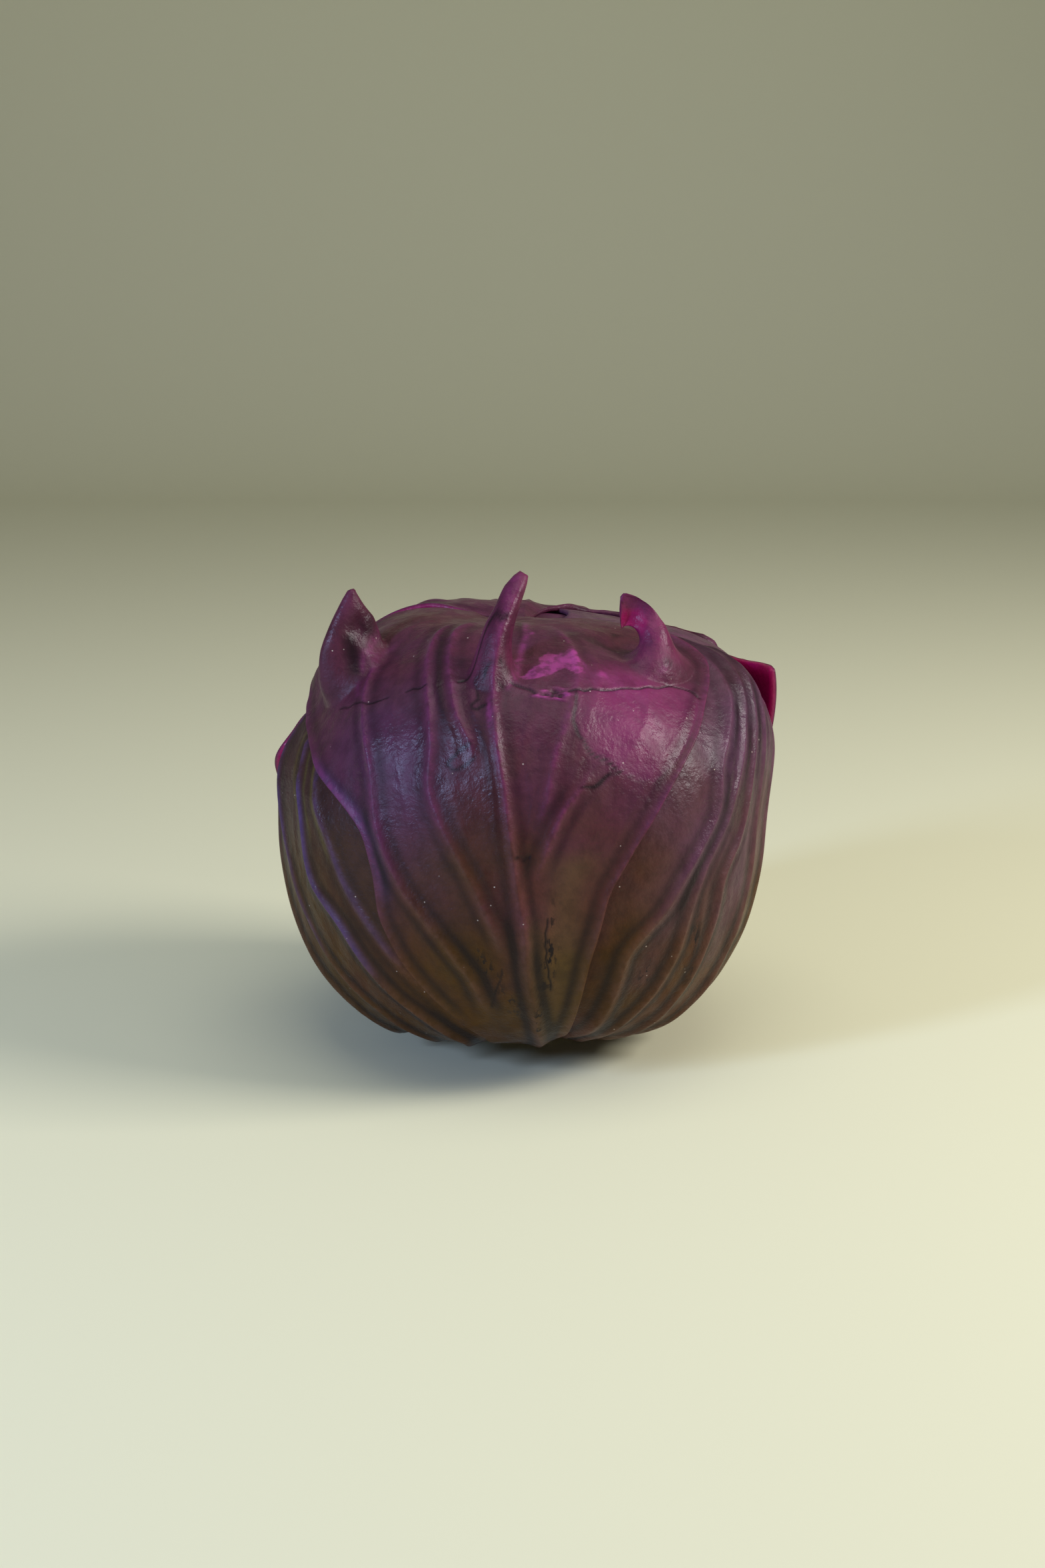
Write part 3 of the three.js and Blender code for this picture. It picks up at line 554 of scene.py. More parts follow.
def leaf_faces(rows, columns):
    """Quads of the outer face, coarser quads of the inner face, and the rim that joins them."""
    step = INNER_STEP
    outer = np.arange(rows * columns).reshape(rows, columns)
    picked = outer[::step, ::step]
    inner = rows * columns + np.arange(picked.size).reshape(picked.shape)
    faces, edges = [], []
    for grid, order in ((outer, 1), (inner, -1)):
        corners = (grid[:-1, :-1], grid[:-1, 1:], grid[1:, 1:], grid[1:, :-1])[::order]
        faces += np.stack([corner.ravel() for corner in corners], 1).tolist()
        sides = grid[0], grid[1:, -1], grid[-1, -2::-1], grid[-2:0:-1, 0]
        edges.append(np.concatenate(sides).tolist())
    fine, coarse = edges
    half = step // 2
    for k, a in enumerate(coarse):
        b = coarse[(k + 1) % len(coarse)]
        run = [fine[(k * step + i) % len(fine)] for i in range(step + 1)]
        faces += [[run[i], a, run[i + 1]] for i in range(half)]
        faces.append([run[half], a, b])
        faces += [[run[i], b, run[i + 1]] for i in range(half, step)]
    return faces


def tucked(latitude):
    """1 at a top edge that reaches the crown and 0 from some degrees below it."""
    top = latitude[-1:, :]
    return smooth_step(-14, 0, latitude - top) * smooth_step(66, 78, top)


def dress(leaf, grid, shown):
    """Relief and marks of a leaf's outer face: ribs, veins, crazed skin, stripes and details."""
    marks = {kind: np.zeros_like(shown) for kind in MARKS}
    relief = sum(vein_height(path, *grid) for path in leaf["veins"])
    for item in leaf["ribs"]:
        rise, pale, deep = rib_layers(*item, *grid)
        relief += rise
        # Paler crests, partly painted highlight, and painted shade in the furrows beside them
        marks["rub"] += pale
        marks["dark"] += shown * deep
    marks["crazed"] += spots(*grid, leaf.get("crazed", ()))
    for kind, path, width, strength, start, end in leaf.get("stripes", ()):
        marks[kind] += strength * stripe(path, *grid, width, start, end)
    if "details" in leaf:
        relief += leaf["details"](grid, marks)
    return relief, marks


def draw_from_front(leaf, points, grid, marks):
    """Draws the tips out of the outer face; adds marks as seen from the front, with painted shade and
    highlights.
    """
    shape = grid[0].shape
    for tip in leaf.get("tips", ()):
        points, along = draw_out(points, grid[0].ravel(), grid[1].ravel(), tip)
        strength, start, end = tip["blush"]
        marks["rosy"] += strength * smooth_step(start, end, along).reshape(shape)
    x, z, near = points[:, 0], points[:, 2], points[:, 1] < NEAR_SIDE
    for kind, chain, width, strength in leaf.get("drawn", ()):
        drawn = near * bell(distance_to(chain, x, z, front_offsets), width)
        marks[kind] += strength * drawn.reshape(shape)
    for kind, outline, strength in leaf.get("patches", ()):
        filled = near * within(outline, x, z, PATCH_EDGE, front_offsets)
        marks[kind] += strength * filled.reshape(shape)
    return points


def leaf_mesh(leaf):
    grid = leaf_grid(leaf)
    shape = grid[0].shape
    shown = leaf["shown"](*grid) if "shown" in leaf else np.ones(shape)
    lift = leaf["lift"](*grid) if "lift" in leaf else 0
    base = head_radius(*grid) - leaf["depth"] + lift
    base = base - HIDDEN_DROP * (1 - shown) - leaf["tuck"] * tucked(grid[1])
    relief, marks = dress(leaf, grid, shown)
    outer = place(*grid, base + shown * relief).reshape(-1, 3)
    outer = draw_from_front(leaf, outer, grid, marks)
    inner = place(*grid, base - LEAF_THICKNESS)[::INNER_STEP, ::INNER_STEP]
    inside = np.ones(inner.shape[:2])
    inside[-1, int(leaf["inner_top"] * inside.shape[1]):] = 0
    points = dented(np.concatenate([outer, inner.reshape(-1, 3)]), leaf.get("dents", ()))
    points[:, 2] = np.maximum(points[:, 2], LOWEST_LEAF)
    plain = np.zeros(inside.size)
    values = {kind: np.concatenate([mark.ravel(), plain]) for kind, mark in marks.items()}
    values["inside"][len(outer):] = inside.ravel()
    return make_mesh(leaf["name"], points, leaf_faces(*shape), values)


def make_mesh(name, points, faces, values):
    """A mesh in metres, smooth shaded, with a number of each kind at each of its points."""
    mesh = bpy.data.meshes.new(name)
    mesh.from_pydata((points * METRES).tolist(), [], faces)
    mesh.polygons.foreach_set("use_smooth", [True] * len(faces))
    for kind, numbers in values.items():
        layer = mesh.attributes.new(kind, "FLOAT", "POINT")
        layer.data.foreach_set("value", np.clip(numbers, 0, 1).astype(np.float32))
    mesh.update()
    return mesh


def flat_offsets(azimuth, latitude, at):
    """Millimetres right and up of a place, on the head's surface."""
    x = turn(azimuth - at[0]) * millimetres_per_degree(at[1])
    return x, (latitude - at[1]) * plain_radius(at[1]) * math.pi / 180


def spots(azimuth, latitude, ovals):
    """Soft ovals: place, half width and half height in millimetres, lean to the right, strength."""
    total = np.zeros(azimuth.shape)
    for at, half_width, half_height, lean, strength in ovals:
        x, y = flat_offsets(azimuth, latitude, at)
        c, s = math.cos(math.radians(lean)), math.sin(math.radians(lean))
        across, along = (x * c - y * s) / half_width, (x * s + y * c) / half_height
        total += strength * np.exp(-((across**2 + along**2) ** 1.5))
    return total


def front_offsets(x, z, at):
    """Millimetres right and up of a place, as seen from the front."""
    return x - at[0], z - at[1]


def distance_to(chain, x, y, offsets=flat_offsets):
    """Millimetres to a chain of straight stretches between places."""
    nearest = np.inf
    for start, end in zip(chain, chain[1:]):
        across, up = offsets(x, y, start)
        end_x, end_y = offsets(*end, start)
        along = (across * end_x + up * end_y) / max(end_x**2 + end_y**2, 1e-9)
        along = np.clip(along, 0, 1)
        nearest = np.minimum(nearest, np.hypot(across - along * end_x, up - along * end_y))
    return nearest


def jagged(path, step, amount, seed):
    """The same chain with small random kinks, one every step degrees."""
    random = np.random.default_rng(seed)
    points = [path[0]]
    for start, end in zip(path, path[1:]):
        count = max(1, round(math.dist(start, end) / step))
        for i in range(1, count):
            kink = random.uniform(-amount, amount, 2)
            points.append(tuple(mix(a, b, i / count) + k for a, b, k in zip(start, end, kink)))
        points.append(end)
    return points


def within(chain, x, y, edge=SKIN_EDGE, offsets=flat_offsets):
    """1 inside a chain of places and 0 outside, over a soft edge."""
    closed = chain + [chain[0]]
    odd = np.zeros(x.shape, bool)
    for (x0, y0), (x1, y1) in zip(closed, closed[1:]):
        if y0 != y1:
            crosses = (y < max(y0, y1)) & (y >= min(y0, y1))
            odd ^= crosses & (x < x0 + (y - y0) * (x1 - x0) / (y1 - y0))
    distance = distance_to(closed, x, y, offsets)
    return smooth_step(-edge, edge, np.where(odd, distance, -distance))


# Cracks of the front leaf: chain of places, length and size of its kinks, depth, half width
CRACK_LINES = [
    ([(-58, 33), (-52, 35), (-46, 35.5), (-40, 38)], 2.5, 0.5, 0.35, 0.3),
    ([(-35, 40), (-29, 42)], 2, 0.4, 0.3, 0.3),
    ([(-20, 44), (-14, 45.5), (-8, 45)], 2, 0.4, 0.35, 0.35),
    ([(-3, 44), (0, 43), (3, 41.5)], 1.5, 0.3, 0.45, 0.4),
    (
        [(13, 42), (20, 42.5), (27, 42), (35.5, 41.5), (46, 41), (50, 40), (53.5, 38), (54, 35.5)],
        2.5, 0.4, 0.45, 0.32,
    ),
    ([(5, -8), (4.5, -14), (5.5, -20), (6, -25)], 1.5, 0.35, 0.35, 0.3),
    ([(-5, -20), (-6.5, -25), (-8, -30)], 1.5, 0.35, 0.3, 0.3),
    ([(-2.5, 6.5), (-1, 5.8), (1, 6)], 1, 0.3, 0.4, 0.35),
]
CRACK_SEED = 11

# Torn edges of the front leaf's thin outer skin, the area that it leaves bare, and the rubbed patch
FILM_RIGHT = [
    (15, 42), (14.5, 40.5), (12.5, 35), (13.5, 31.5), (16, 27.5), (20.5, 25), (22.5, 23), (20, 23),
    (15.5, 20.3), (13, 20.7),
]
FILM_LEFT = [(-12.8, 29.3), (-15.5, 28), (-18, 25), (-16.3, 23.8), (-13.5, 25), (-11.5, 26.5)]
BARED_RIGHT = FILM_RIGHT[:7] + [
    (30, 20), (38, 24), (46, 30), (54, 36), (52, 39), (46, 41), (35, 41.5), (27, 42),
]
RUBBED = [
    (5.8, 54.8), (10.2, 57), (13.9, 55.2), (19.4, 57), (21.6, 56.2), (20.4, 51), (19.8, 47.2),
    (16.2, 47.7), (14.1, 49.4), (10.8, 48.4), (7.9, 47.2), (4.2, 46), (0.9, 45.6), (-0.9, 46.8),
    (2.6, 49.4), (5.8, 51.4),
]

# Soft ovals of the front leaf: place, half width and half height in millimetres, lean, strength
RUBS = [
    ((15, 52.5), 4.2, 1.6, 4, 0.25),
    ((21, 51.5), 0.8, 3.6, -6, 0.4),
    ((-2, 54.2), 1.3, 1.2, 0, 0.8),
    ((25.5, 46), 1.4, 2.4, 30, 0.7),
    ((-9, 36), 0.8, 4.5, -8, 0.5),
    ((5, 67), 0.8, 0.8, 0, 0.9),
    ((30, 44), 14, 6, 20, 0.2),
]
ROSY_ZONES = [
    ((34, 39), 19, 12, 20, 0.42),
    ((26, 30), 12, 9, 10, 0.3),
    ((-18, 52), 22, 9, 0, 0.12),
]
# Painted bluish sheen where the left light is reflected
PAINTED_SHEEN_ZONES = [((-36, 27), 18, 20, -12, 0.16), ((-24, 10), 16, 22, -10, 0.06)]


def cut_cracks(grid, marks):
    """Dark cracks with slightly raised banks."""
    relief = np.zeros_like(grid[0])
    for k, (chain, step, kink, depth, width) in enumerate(CRACK_LINES):
        distance = distance_to(jagged(chain, step, kink, CRACK_SEED + k), *grid)
        groove = bell(distance, width)
        relief += depth * (0.08 * bell(distance - 1, 0.6) - 0.7 * groove)
        marks["dark"] += groove
    return relief


def tear_skin(grid, marks):
    """Dark torn edges of the outer skin, and the bare area a little lower beside them."""
    bared = within(BARED_RIGHT, *grid)
    marks["bared"] += 0.45 * bared
    relief = -0.16 * bared
    for film in (FILM_RIGHT, FILM_LEFT):
        distance = distance_to(jagged(film, 1.5, 0.25, 21), *grid)
        relief += 0.08 * bell(distance - 1.1, 0.6)
        marks["dark"] += 0.95 * bell(distance, 0.62)
    return relief


def sink_crater(grid, marks):
    """A small dark pit with a pale uneven lip and pale lumps in it."""
    x, y = flat_offsets(*grid, CRATER)
    wide, tall = CRATER_HALF_SIZE
    heading = np.arctan2(y / tall, x / wide)
    uneven = 1 + 0.16 * np.sin(3 * heading + 1) + 0.12 * np.sin(7 * heading)
    ring = np.hypot(x / wide, y / tall) * uneven
    height = 0.75 - 0.4 * np.sin(heading) + 0.3 * np.sin(5 * heading + 2)
    lip = bell(ring - 1, 0.28) * height
    relief = 0.45 * lip - 0.7 * np.exp(-((ring / 0.9) ** 4))
    marks["rub"] += 1.3 * lip
    for lump_x, lump_y, radius in CRATER_LUMPS:
        lump = bell(np.hypot(x - lump_x, y - lump_y), radius)
        relief += 0.7 * lump
        marks["rub"] += 0.6 * lump
    marks["dark"] += 0.9 * np.exp(-((ring / 0.8) ** 4)) * (1 - np.clip(marks["rub"], 0, 1))
    return relief


def front_details(grid, marks):
    """Cracks, torn skin, crater and zones of the front leaf: adds marks and returns the relief."""
    relief = cut_cracks(grid, marks) + tear_skin(grid, marks)
    relief += sink_crater(grid, marks)
    marks["rub"] += spots(*grid, RUBS)
    marks["rub"] += 0.75 * within(jagged(RUBBED, 1.2, 0.5, 31), *grid)
    marks["rosy"] += spots(*grid, ROSY_ZONES)
    marks["cool"] += spots(*grid, PAINTED_SHEEN_ZONES)
    return relief


# Marks of the front leaf as seen from the front: kind, chain of (x, z), half width, strength
DRAWN = [
    (
        "dark",
        [
            (-6.5, 124.6), (-9.5, 123.6), (-10.9, 122.3), (-10.5, 120.3), (-12.2, 120.7),
            (-13.6, 119.2), (-13.1, 117.5), (-12.5, 114.8), (-14.4, 113.4), (-14.1, 112.6),
            (-12.8, 112.5), (-10.3, 113.8),
        ],
        0.42, 0.75,
    ),
    ("dark", [(-7.8, 120.3), (-6.8, 118.8), (-5.8, 117.4)], 0.4, 0.5),
    # Painted highlight along the middle tip's lit edge
    ("rub", [(-0.6, 131), (0.6, 127.7), (-0.6, 124), (-2, 120.7), (-4.5, 117.5)], 0.9, 0.4),
    # Painted highlight along the left tip's crest
    (
        "rub",
        [(-37.8, 131), (-41, 128.6), (-43.3, 125.4), (-45.2, 122), (-46.2, 118), (-46.8, 112)],
        1.0, 0.3,
    ),
    ("dark", [(39.6, 121), (40.4, 120.2), (41, 120.6)], 0.7, 0.8),
    ("rub", [(38.6, 119.6), (39.6, 119.2)], 0.7, 0.5),
]

# Patches of the front leaf as seen from the front: kind, outline of (x, z), strength
PATCHES = [
    (
        "inside",
        [(27.4, 134.5), (33, 134), (34.6, 131.5), (33.6, 128.8), (30.7, 128.6), (27.4, 130.6)],
        0.75,
    ),
    # Painted shade in the hook's curled hollow
    ("dark", [(28, 133.5), (32.4, 133), (33.2, 131), (32.4, 129.6), (30.4, 129.8), (28, 131)], 0.25),
    # Painted shade in the left tip's valley
    ("dark", [(-51.5, 128), (-49, 127.2), (-46.8, 124), (-46.8, 117), (-50, 116), (-51.5, 121)], 0.5),
    # Painted shade in the hollow under the left tip's notch
    ("dark", [(-47, 131), (-43.5, 130.4), (-43.4, 127.6), (-46.6, 127)], 0.5),
    # Painted shade in the cavity beside the middle tip
    ("dark", [(-2.2, 133.5), (0.4, 131.8), (-0.4, 127), (-1.8, 125.5)], 0.6),
    # Painted shadow under the hook
    ("dark", [(24.6, 128.6), (32, 128.8), (31.5, 125.5), (25.5, 124.5)], 0.8),
]


# Each leaf: "lines" are its grid's main columns, with whether a rib or margin runs there and the
# cells up to it; "cell" is the width of a fine column; "rows" are the rows up to a latitude; "top"
# is the top edge's latitude; "depth" is its layer; "tuck" presses its crown edge down; "inner_top"
# is the magenta share of its inner top edge
FRONT_LEAF = {
    "name": "front_leaf",
    "inner_top": 0,
    "tuck": 0.4,
    "lines": [
        (FRONT_LEFT_MARGIN, True, 0), (FRONT_HORN_LINE, False, 3), (RIB_1, True, 3),
        (RIB_2, True, 3), (RIB_3, True, 2), (FRONT_MIDRIB, True, 2), (VEIN_1, False, 2),
        (RIB_4, False, 2), (FRONT_HOOK_LINE, False, 3), (FRONT_RIGHT_MARGIN, True, 3),
    ],
    "cell": 0.62,
    "rows": [(LEAF_FOOT_LATITUDE, 0), (0, 100), (30, 44), (56, 100), (70, 28), (87, 24)],
    "top": [(0, 76), (0.15, 84), (0.3, 88.3), (0.8, 88.3), (1, 82)],
    "depth": 0,
    "ribs": [
        rib(FRONT_MIDRIB, 1.5, end=52, swell=0.5, rub=0.26),
        rib(RIB_1, 1.2, -32, 52),
        rib(RIB_2, 1.2, -16, 66),
        rib(RIB_3, 1.1, 26, 70),
        rib(RIB_4, 1.0, 1, 22, rub=0.3),
        rib(VEIN_1, 0.5, 12, 70),
        rib(FRONT_LEFT_MARGIN, 0.9, -35, 60, rub=0.12),
        rib(FRONT_RIGHT_MARGIN, 1.5, -44, 62),
    ],
    "veins": veins_of([FRONT_HORN_LINE, RIB_1, RIB_2, RIB_3, FRONT_MIDRIB], 40)
    + veins_of([FRONT_MIDRIB, VEIN_1, RIB_4, FRONT_HOOK_LINE, FRONT_RIGHT_MARGIN], 80),
    "details": front_details,
    "drawn": DRAWN,
    "patches": PATCHES,
    "crazed": [
        ((-9.5, -20), 3.4, 9, -28, 1), ((-2.2, -30), 2.4, 6, -20, 1), ((5.4, -16), 2.6, 15, 4, 1),
        ((3.6, -34), 1.8, 7, 0, 1),
    ],
    "stripes": [
        # Painted highlight along the raised left margin, bluish and pale
        ("cool", FRONT_LEFT_MARGIN + 2.2, 2.4, 0.38, -6, 20),
        ("rub", FRONT_LEFT_MARGIN + 1.6, 1.2, 0.25, -6, 20),
        # Painted greenish reflections low on the front
        ("green", mix(RIB_4, FRONT_RIGHT_MARGIN, 0.4), 6, 0.3, -40, 6),
        ("green", mix(FRONT_MIDRIB, RIB_4, 0.6), 2.2, 0.22, -50, -8),
        # Painted shade in the furrows low on the front
        ("dark", mix(FRONT_MIDRIB, RIB_4, 0.5), 1.6, 0.4, -44, -14),
        ("dark", mix(RIB_3, FRONT_MIDRIB, 0.4), 1.8, 0.32, -46, -14),
        ("dark", mix(RIB_1, RIB_2, 0.4), 2.4, 0.3, -46, -6),
    ],
    "dents": DENTS,
    "tips": [LEFT_TIP, MIDDLE_TIP, HOOK_TIP],
}


def opening(azimuth, latitude, side, front_end, back_end, start):
    """1 where the left (-1) or right (1) leaf shows between its neighbours, 0 beneath them."""
    front, back = OPENINGS[side]
    from_front = side * offset_from(front, azimuth, latitude)
    from_back = -side * offset_from(back, azimuth, latitude)
    return smooth_step(start, front_end, from_front) * smooth_step(start, back_end, from_back)


OPENINGS = {
    -1: (FRONT_LEFT_MARGIN, BACK_LEFT_MARGIN),
    1: (FRONT_RIGHT_MARGIN, BACK_RIGHT_MARGIN),
}


def left_lift(azimuth, latitude):
    lifted = opening(azimuth, latitude, -1, 14, 12, 2)
    return OPEN_LIFT * lifted * (1 - smooth_step(12, 26, latitude))


def left_shown(azimuth, latitude):
    return opening(azimuth, latitude, -1, 5, 4, 0.5)


def right_lift(azimuth, latitude):
    under_back = smooth_step(120, 138, azimuth) * smooth_step(46, 56, latitude)
    return OPEN_LIFT * opening(azimuth, latitude, 1, 12, 12, 2) + CROWN_RAISE * under_back


def right_shown(azimuth, latitude):
    return opening(azimuth, latitude, 1, 4, 4, 0.5)


LEFT_LEAF = {
    "name": "left_leaf",
    "inner_top": 1,
    "tuck": 0,
    "lines": [(LEFT_BACK_MARGIN, False, 0)]
    + [(path, True, 2 if i else 4) for i, path in enumerate(LEFT_RIBS)]
    + [(LEFT_FRONT_MARGIN, False, 2)],
    "cell": 0.75,
    "rows": [(LEAF_FOOT_LATITUDE, 0), (-45, 28), (40, 148)],
    "top": [
        (0, 60), (0.25, 56), (0.35, 52), (0.45, 48), (0.55, 44), (0.65, 42), (0.75, 40), (0.85, 36),
        (1, 31),
    ],
    "depth": LAYER_PITCH,
    "lift": left_lift,
    "shown": left_shown,
    "ribs": [
        rib(path, height, swell=swell)
        for path, height, swell in zip(LEFT_RIBS, (0.9, 1.1, 1.5, 1.1, 1.4, 0.7), (0, 0, 0.7, 0, 0, 0))
    ],
    "veins": veins_of(LEFT_RIBS, 120),
    "stripes": [
        # Painted bluish highlights along the ribs
        ("cool", LEFT_RIBS[4], 1.5, 0.7, -24, 14),
        ("cool", LEFT_RIBS[3], 1.3, 0.4, -24, 10),
        ("cool", LEFT_RIBS[5], 1.2, 0.3, -20, 2),
        # Painted greenish reflections between the ribs
        ("green", mix(LEFT_RIBS[4], LEFT_RIBS[5], 0.35), 0.8, 0.55, 4, 26),
        ("green", mix(LEFT_RIBS[4], LEFT_RIBS[5], 0.8), 0.8, 0.55, 0, 22),
        ("green", mix(LEFT_RIBS[3], LEFT_RIBS[4], 0.7), 0.9, 0.4, 6, 28),
    ],
}

RIGHT_LEAF = {
    "name": "right_leaf",
    "inner_top": 0,
    "tuck": 0,
    "lines": [(RIGHT_FRONT_MARGIN, False, 0)]
    + [(path, True, 2) for path in RIGHT_RIBS]
    + [(RIGHT_BACK_MARGIN, False, 4)],
    "cell": 0.7,
    "rows": [(LEAF_FOOT_LATITUDE, 0), (-45, 32), (40, 148), (64, 32), (80, 12)],
    "top": [
        (0, 60), (0.2, 64), (0.35, 77), (0.6, 86), (0.75, 84), (0.86, 76), (0.93, 70), (1, 66),
    ],
    "depth": LAYER_PITCH,
    "lift": right_lift,
    "shown": right_shown,
    "ribs": [
        rib(path, height, end=60 if k < 3 else 80, swell=swell)
        for k, (path, height, swell) in enumerate(
            zip(RIGHT_RIBS, (1.2, 1.2, 1.2, 1.1, 1.1, 1.4), (0.5, 0.5, 0.4, 0.4, 0.4, 0.7))
        )
    ],
    "veins": veins_of(RIGHT_RIBS, 160),
    "stripes": [
        # Painted sheen between the ribs
        ("cool", mix(RIGHT_RIBS[0], RIGHT_RIBS[1], 0.5), 7, 0.14, -28, 34),
        ("cool", mix(RIGHT_RIBS[2], RIGHT_RIBS[3], 0.5), 7, 0.12, -28, 34),
    ],
    "crazed": [((44, -20), 2.6, 12, -8, 1), ((30, -24), 2, 7, 0, 1)],
}


def back_rib(reach, start, margin):
    """A side rib that leaves the midrib at a latitude and ends a share of the way to the margin."""
    run = np.clip((LATITUDES - start) / (55 - start), 0, 1)
    return mix(BACK_MIDRIB, margin, reach * (0.16 + 0.84 * run**0.7))


BACK_PATHS = [back_rib(*item, BACK_RIGHT_MARGIN) for item in BACK_RIBS_RIGHT] + [
    back_rib(*item, BACK_LEFT_MARGIN) for item in BACK_RIBS_LEFT
]
BACK_STARTS = [start for _, start in BACK_RIBS_RIGHT + BACK_RIBS_LEFT]
FLAP_LIFT = 6.2
LIP_LIFT = 3.6
CROWN_PRESS = 0.7


def back_lift(azimuth, latitude):
    """Both margins stand off: the right one in a corner flap, the left one in a low lip."""
    flap = FLAP_LIFT * np.maximum(0, (latitude - 15) / 17.7) ** 1.35
    flap = flap * (1 - smooth_step(38, 52, latitude))
    lip = LIP_LIFT * smooth_step(-6, 8, latitude) * (1 - smooth_step(9, 21, latitude))
    beside_flap = bell(azimuth - follow(BACK_RIGHT_MARGIN, latitude), 11)
    beside_lip = bell(azimuth - follow(BACK_LEFT_MARGIN, latitude), 9)
    pressed = smooth_step(48, 60, latitude) * (1 - smooth_step(166, 178, azimuth))
    return flap * beside_flap + lip * beside_lip - CROWN_PRESS * pressed


BACK_LEAF = {
    "name": "back_leaf",
    "inner_top": 0.16,
    "tuck": 1.7,
    "lines": [(BACK_RIGHT_MARGIN, True, 0)]
    + [(path, True, 2 if i else 4) for i, path in enumerate(BACK_PATHS[:3])]
    + [(BACK_MIDRIB, True, 2)]
    + [(path, True, 2) for path in BACK_PATHS[3:]]
    + [(BACK_LEFT_MARGIN, True, 2)],
    "cell": 0.85,
    "rows": [(LEAF_FOOT_LATITUDE, 0), (-45, 28), (40, 136), (76, 40), (86, 12)],
    "top": [
        (0, 31.2), (0.03, 32), (0.15, 35), (0.24, 44), (0.3, 50), (0.36, 57), (0.42, 66), (0.48, 79),
        (0.54, 87), (0.8, 87.5), (0.9, 83), (1, 76),
    ],
    "depth": 0,
    "lift": back_lift,
    "ribs": [rib(BACK_MIDRIB, 1.6, swell=1, end=66)]
    + [rib(path, 1.1, start, 66) for path, start in zip(BACK_PATHS, BACK_STARTS)]
    + [rib(BACK_RIGHT_MARGIN, 0.6, -50), rib(BACK_LEFT_MARGIN, 0.8, -50)],
    "veins": veins_of([BACK_RIGHT_MARGIN] + BACK_PATHS[:3] + [BACK_MIDRIB], 200)
    + veins_of([BACK_MIDRIB] + BACK_PATHS[3:] + [BACK_LEFT_MARGIN], 240),
}


def band(low, high, around):
    """Quads between two rings of points, each given by its first point."""
    pairs = [(i, (i + 1) % around) for i in range(around)]
    return [[low + i, low + j, high + j, high + i] for i, j in pairs]


def cap(ring, tip, around, upwards):
    """Triangles between a ring of points and one point, facing up or down."""
    pairs = [(i, (i + 1) % around)[:: 1 if upwards else -1] for i in range(around)]
    return [[ring + i, ring + j, tip] for i, j in pairs]


def circle(around):
    """Points on a circle round the stem, from the front to the right."""
    angle = np.arange(around) * 2 * math.pi / around
    return np.stack([np.sin(angle), -np.cos(angle)], 1)


def seam_height(azimuth, latitude):
    """Steps where the tight leaves overlap in a spiral round the crown."""
    spiral = (azimuth / 360 * 3 + (90 - latitude) / 34) % 1
    return 0.9 * smooth_step(45, 60, latitude) * (spiral - smooth_step(0.93, 1, spiral))


def heart_mesh():
    """The tight head inside, with its seams at the crown and a pocket for the stem."""
    around = 288
    latitudes = np.concatenate([np.arange(LEAF_FOOT_LATITUDE, 44, 3), np.arange(45, 89.5, 0.7)])
    azimuth, latitude = np.meshgrid(np.arange(around) * 360 / around, latitudes)
    base = head_radius(azimuth, latitude, HEART_HOLLOWS) - HEART_DEPTH
    points = place(azimuth, latitude, base + seam_height(azimuth, latitude)).reshape(-1, 3)
    ceiling = STUMP_CORE_TOP + POCKET_HEADROOM
    ring = circle(around) * (STUMP_CORE_RADIUS + POCKET_GAP)
    low = np.column_stack([ring, points[:around, 2] + 0.4])
    high = np.column_stack([ring, np.full(around, ceiling)])
    pole = np.zeros(1), np.full(1, 90.0)
    top = place(*pole, head_radius(*pole, HEART_HOLLOWS) - HEART_DEPTH)
    rings = len(latitudes)
    crown = (rings + 2) * around
    points = np.concatenate([points, low, high, top, [[0, 0, ceiling]]])
    points[:, 2] = np.maximum(points[:, 2], LOWEST_LEAF)
    bands = [(k, k + 1) for k in range(rings - 1)] + [(rings, 0), (rings + 1, rings)]
    faces = [face for a, b in bands for face in band(a * around, b * around, around)]
    faces += cap((rings - 1) * around, crown, around, True)
    faces += cap((rings + 1) * around, crown + 1, around, False)
    return make_mesh("inner_head", points, faces, {kind: np.zeros(len(points)) for kind in MARKS})


def stump_mesh():
    """The cut stem: a flat face with a worn edge, and a core that stands in the head's pocket."""
    around = 96
    outline = [
        (4, 0), (8, 0), (12, 0), (STUMP_RADIUS - 0.8, 0), (STUMP_RADIUS, 0.8), (STUMP_RADIUS, 3),
        (STUMP_CORE_RADIUS, 4), (STUMP_CORE_RADIUS, STUMP_CORE_TOP - 1),
        (STUMP_CORE_RADIUS - 1.5, STUMP_CORE_TOP),
    ]
    rings = [np.column_stack([circle(around) * r, np.full(around, z)]) for r, z in outline]
    points = np.concatenate([*rings, [[0, 0, 0], [0, 0, STUMP_CORE_TOP]]])
    last = len(outline) - 1
    faces = [face for k in range(last) for face in band(k * around, (k + 1) * around, around)]
    faces += cap(0, (last + 1) * around, around, False)
    faces += cap(last * around, (last + 1) * around + 1, around, True)
    return make_mesh("stem_stump", points, faces, {})


def srgb(red, green, blue):
    """A colour as it looks, 0 to 255 a channel, as the light values that a shader takes."""
    return tuple((v / 255) ** 2.2 for v in (red, green, blue)) + (1.0,)


# Olive foot colour: partly the skin's own tone, partly a painted reflection of the floor
FOOT = srgb(72, 47, 2)
DEEP = (0.006, 0.0025, 0.004, 1)
# A painted bluish sheen
PAINTED_SHEEN = srgb(74, 58, 104)
# A painted greenish reflection
PAINTED_REFLECTION = srgb(98, 86, 44)
RUDDY = srgb(86, 36, 24)
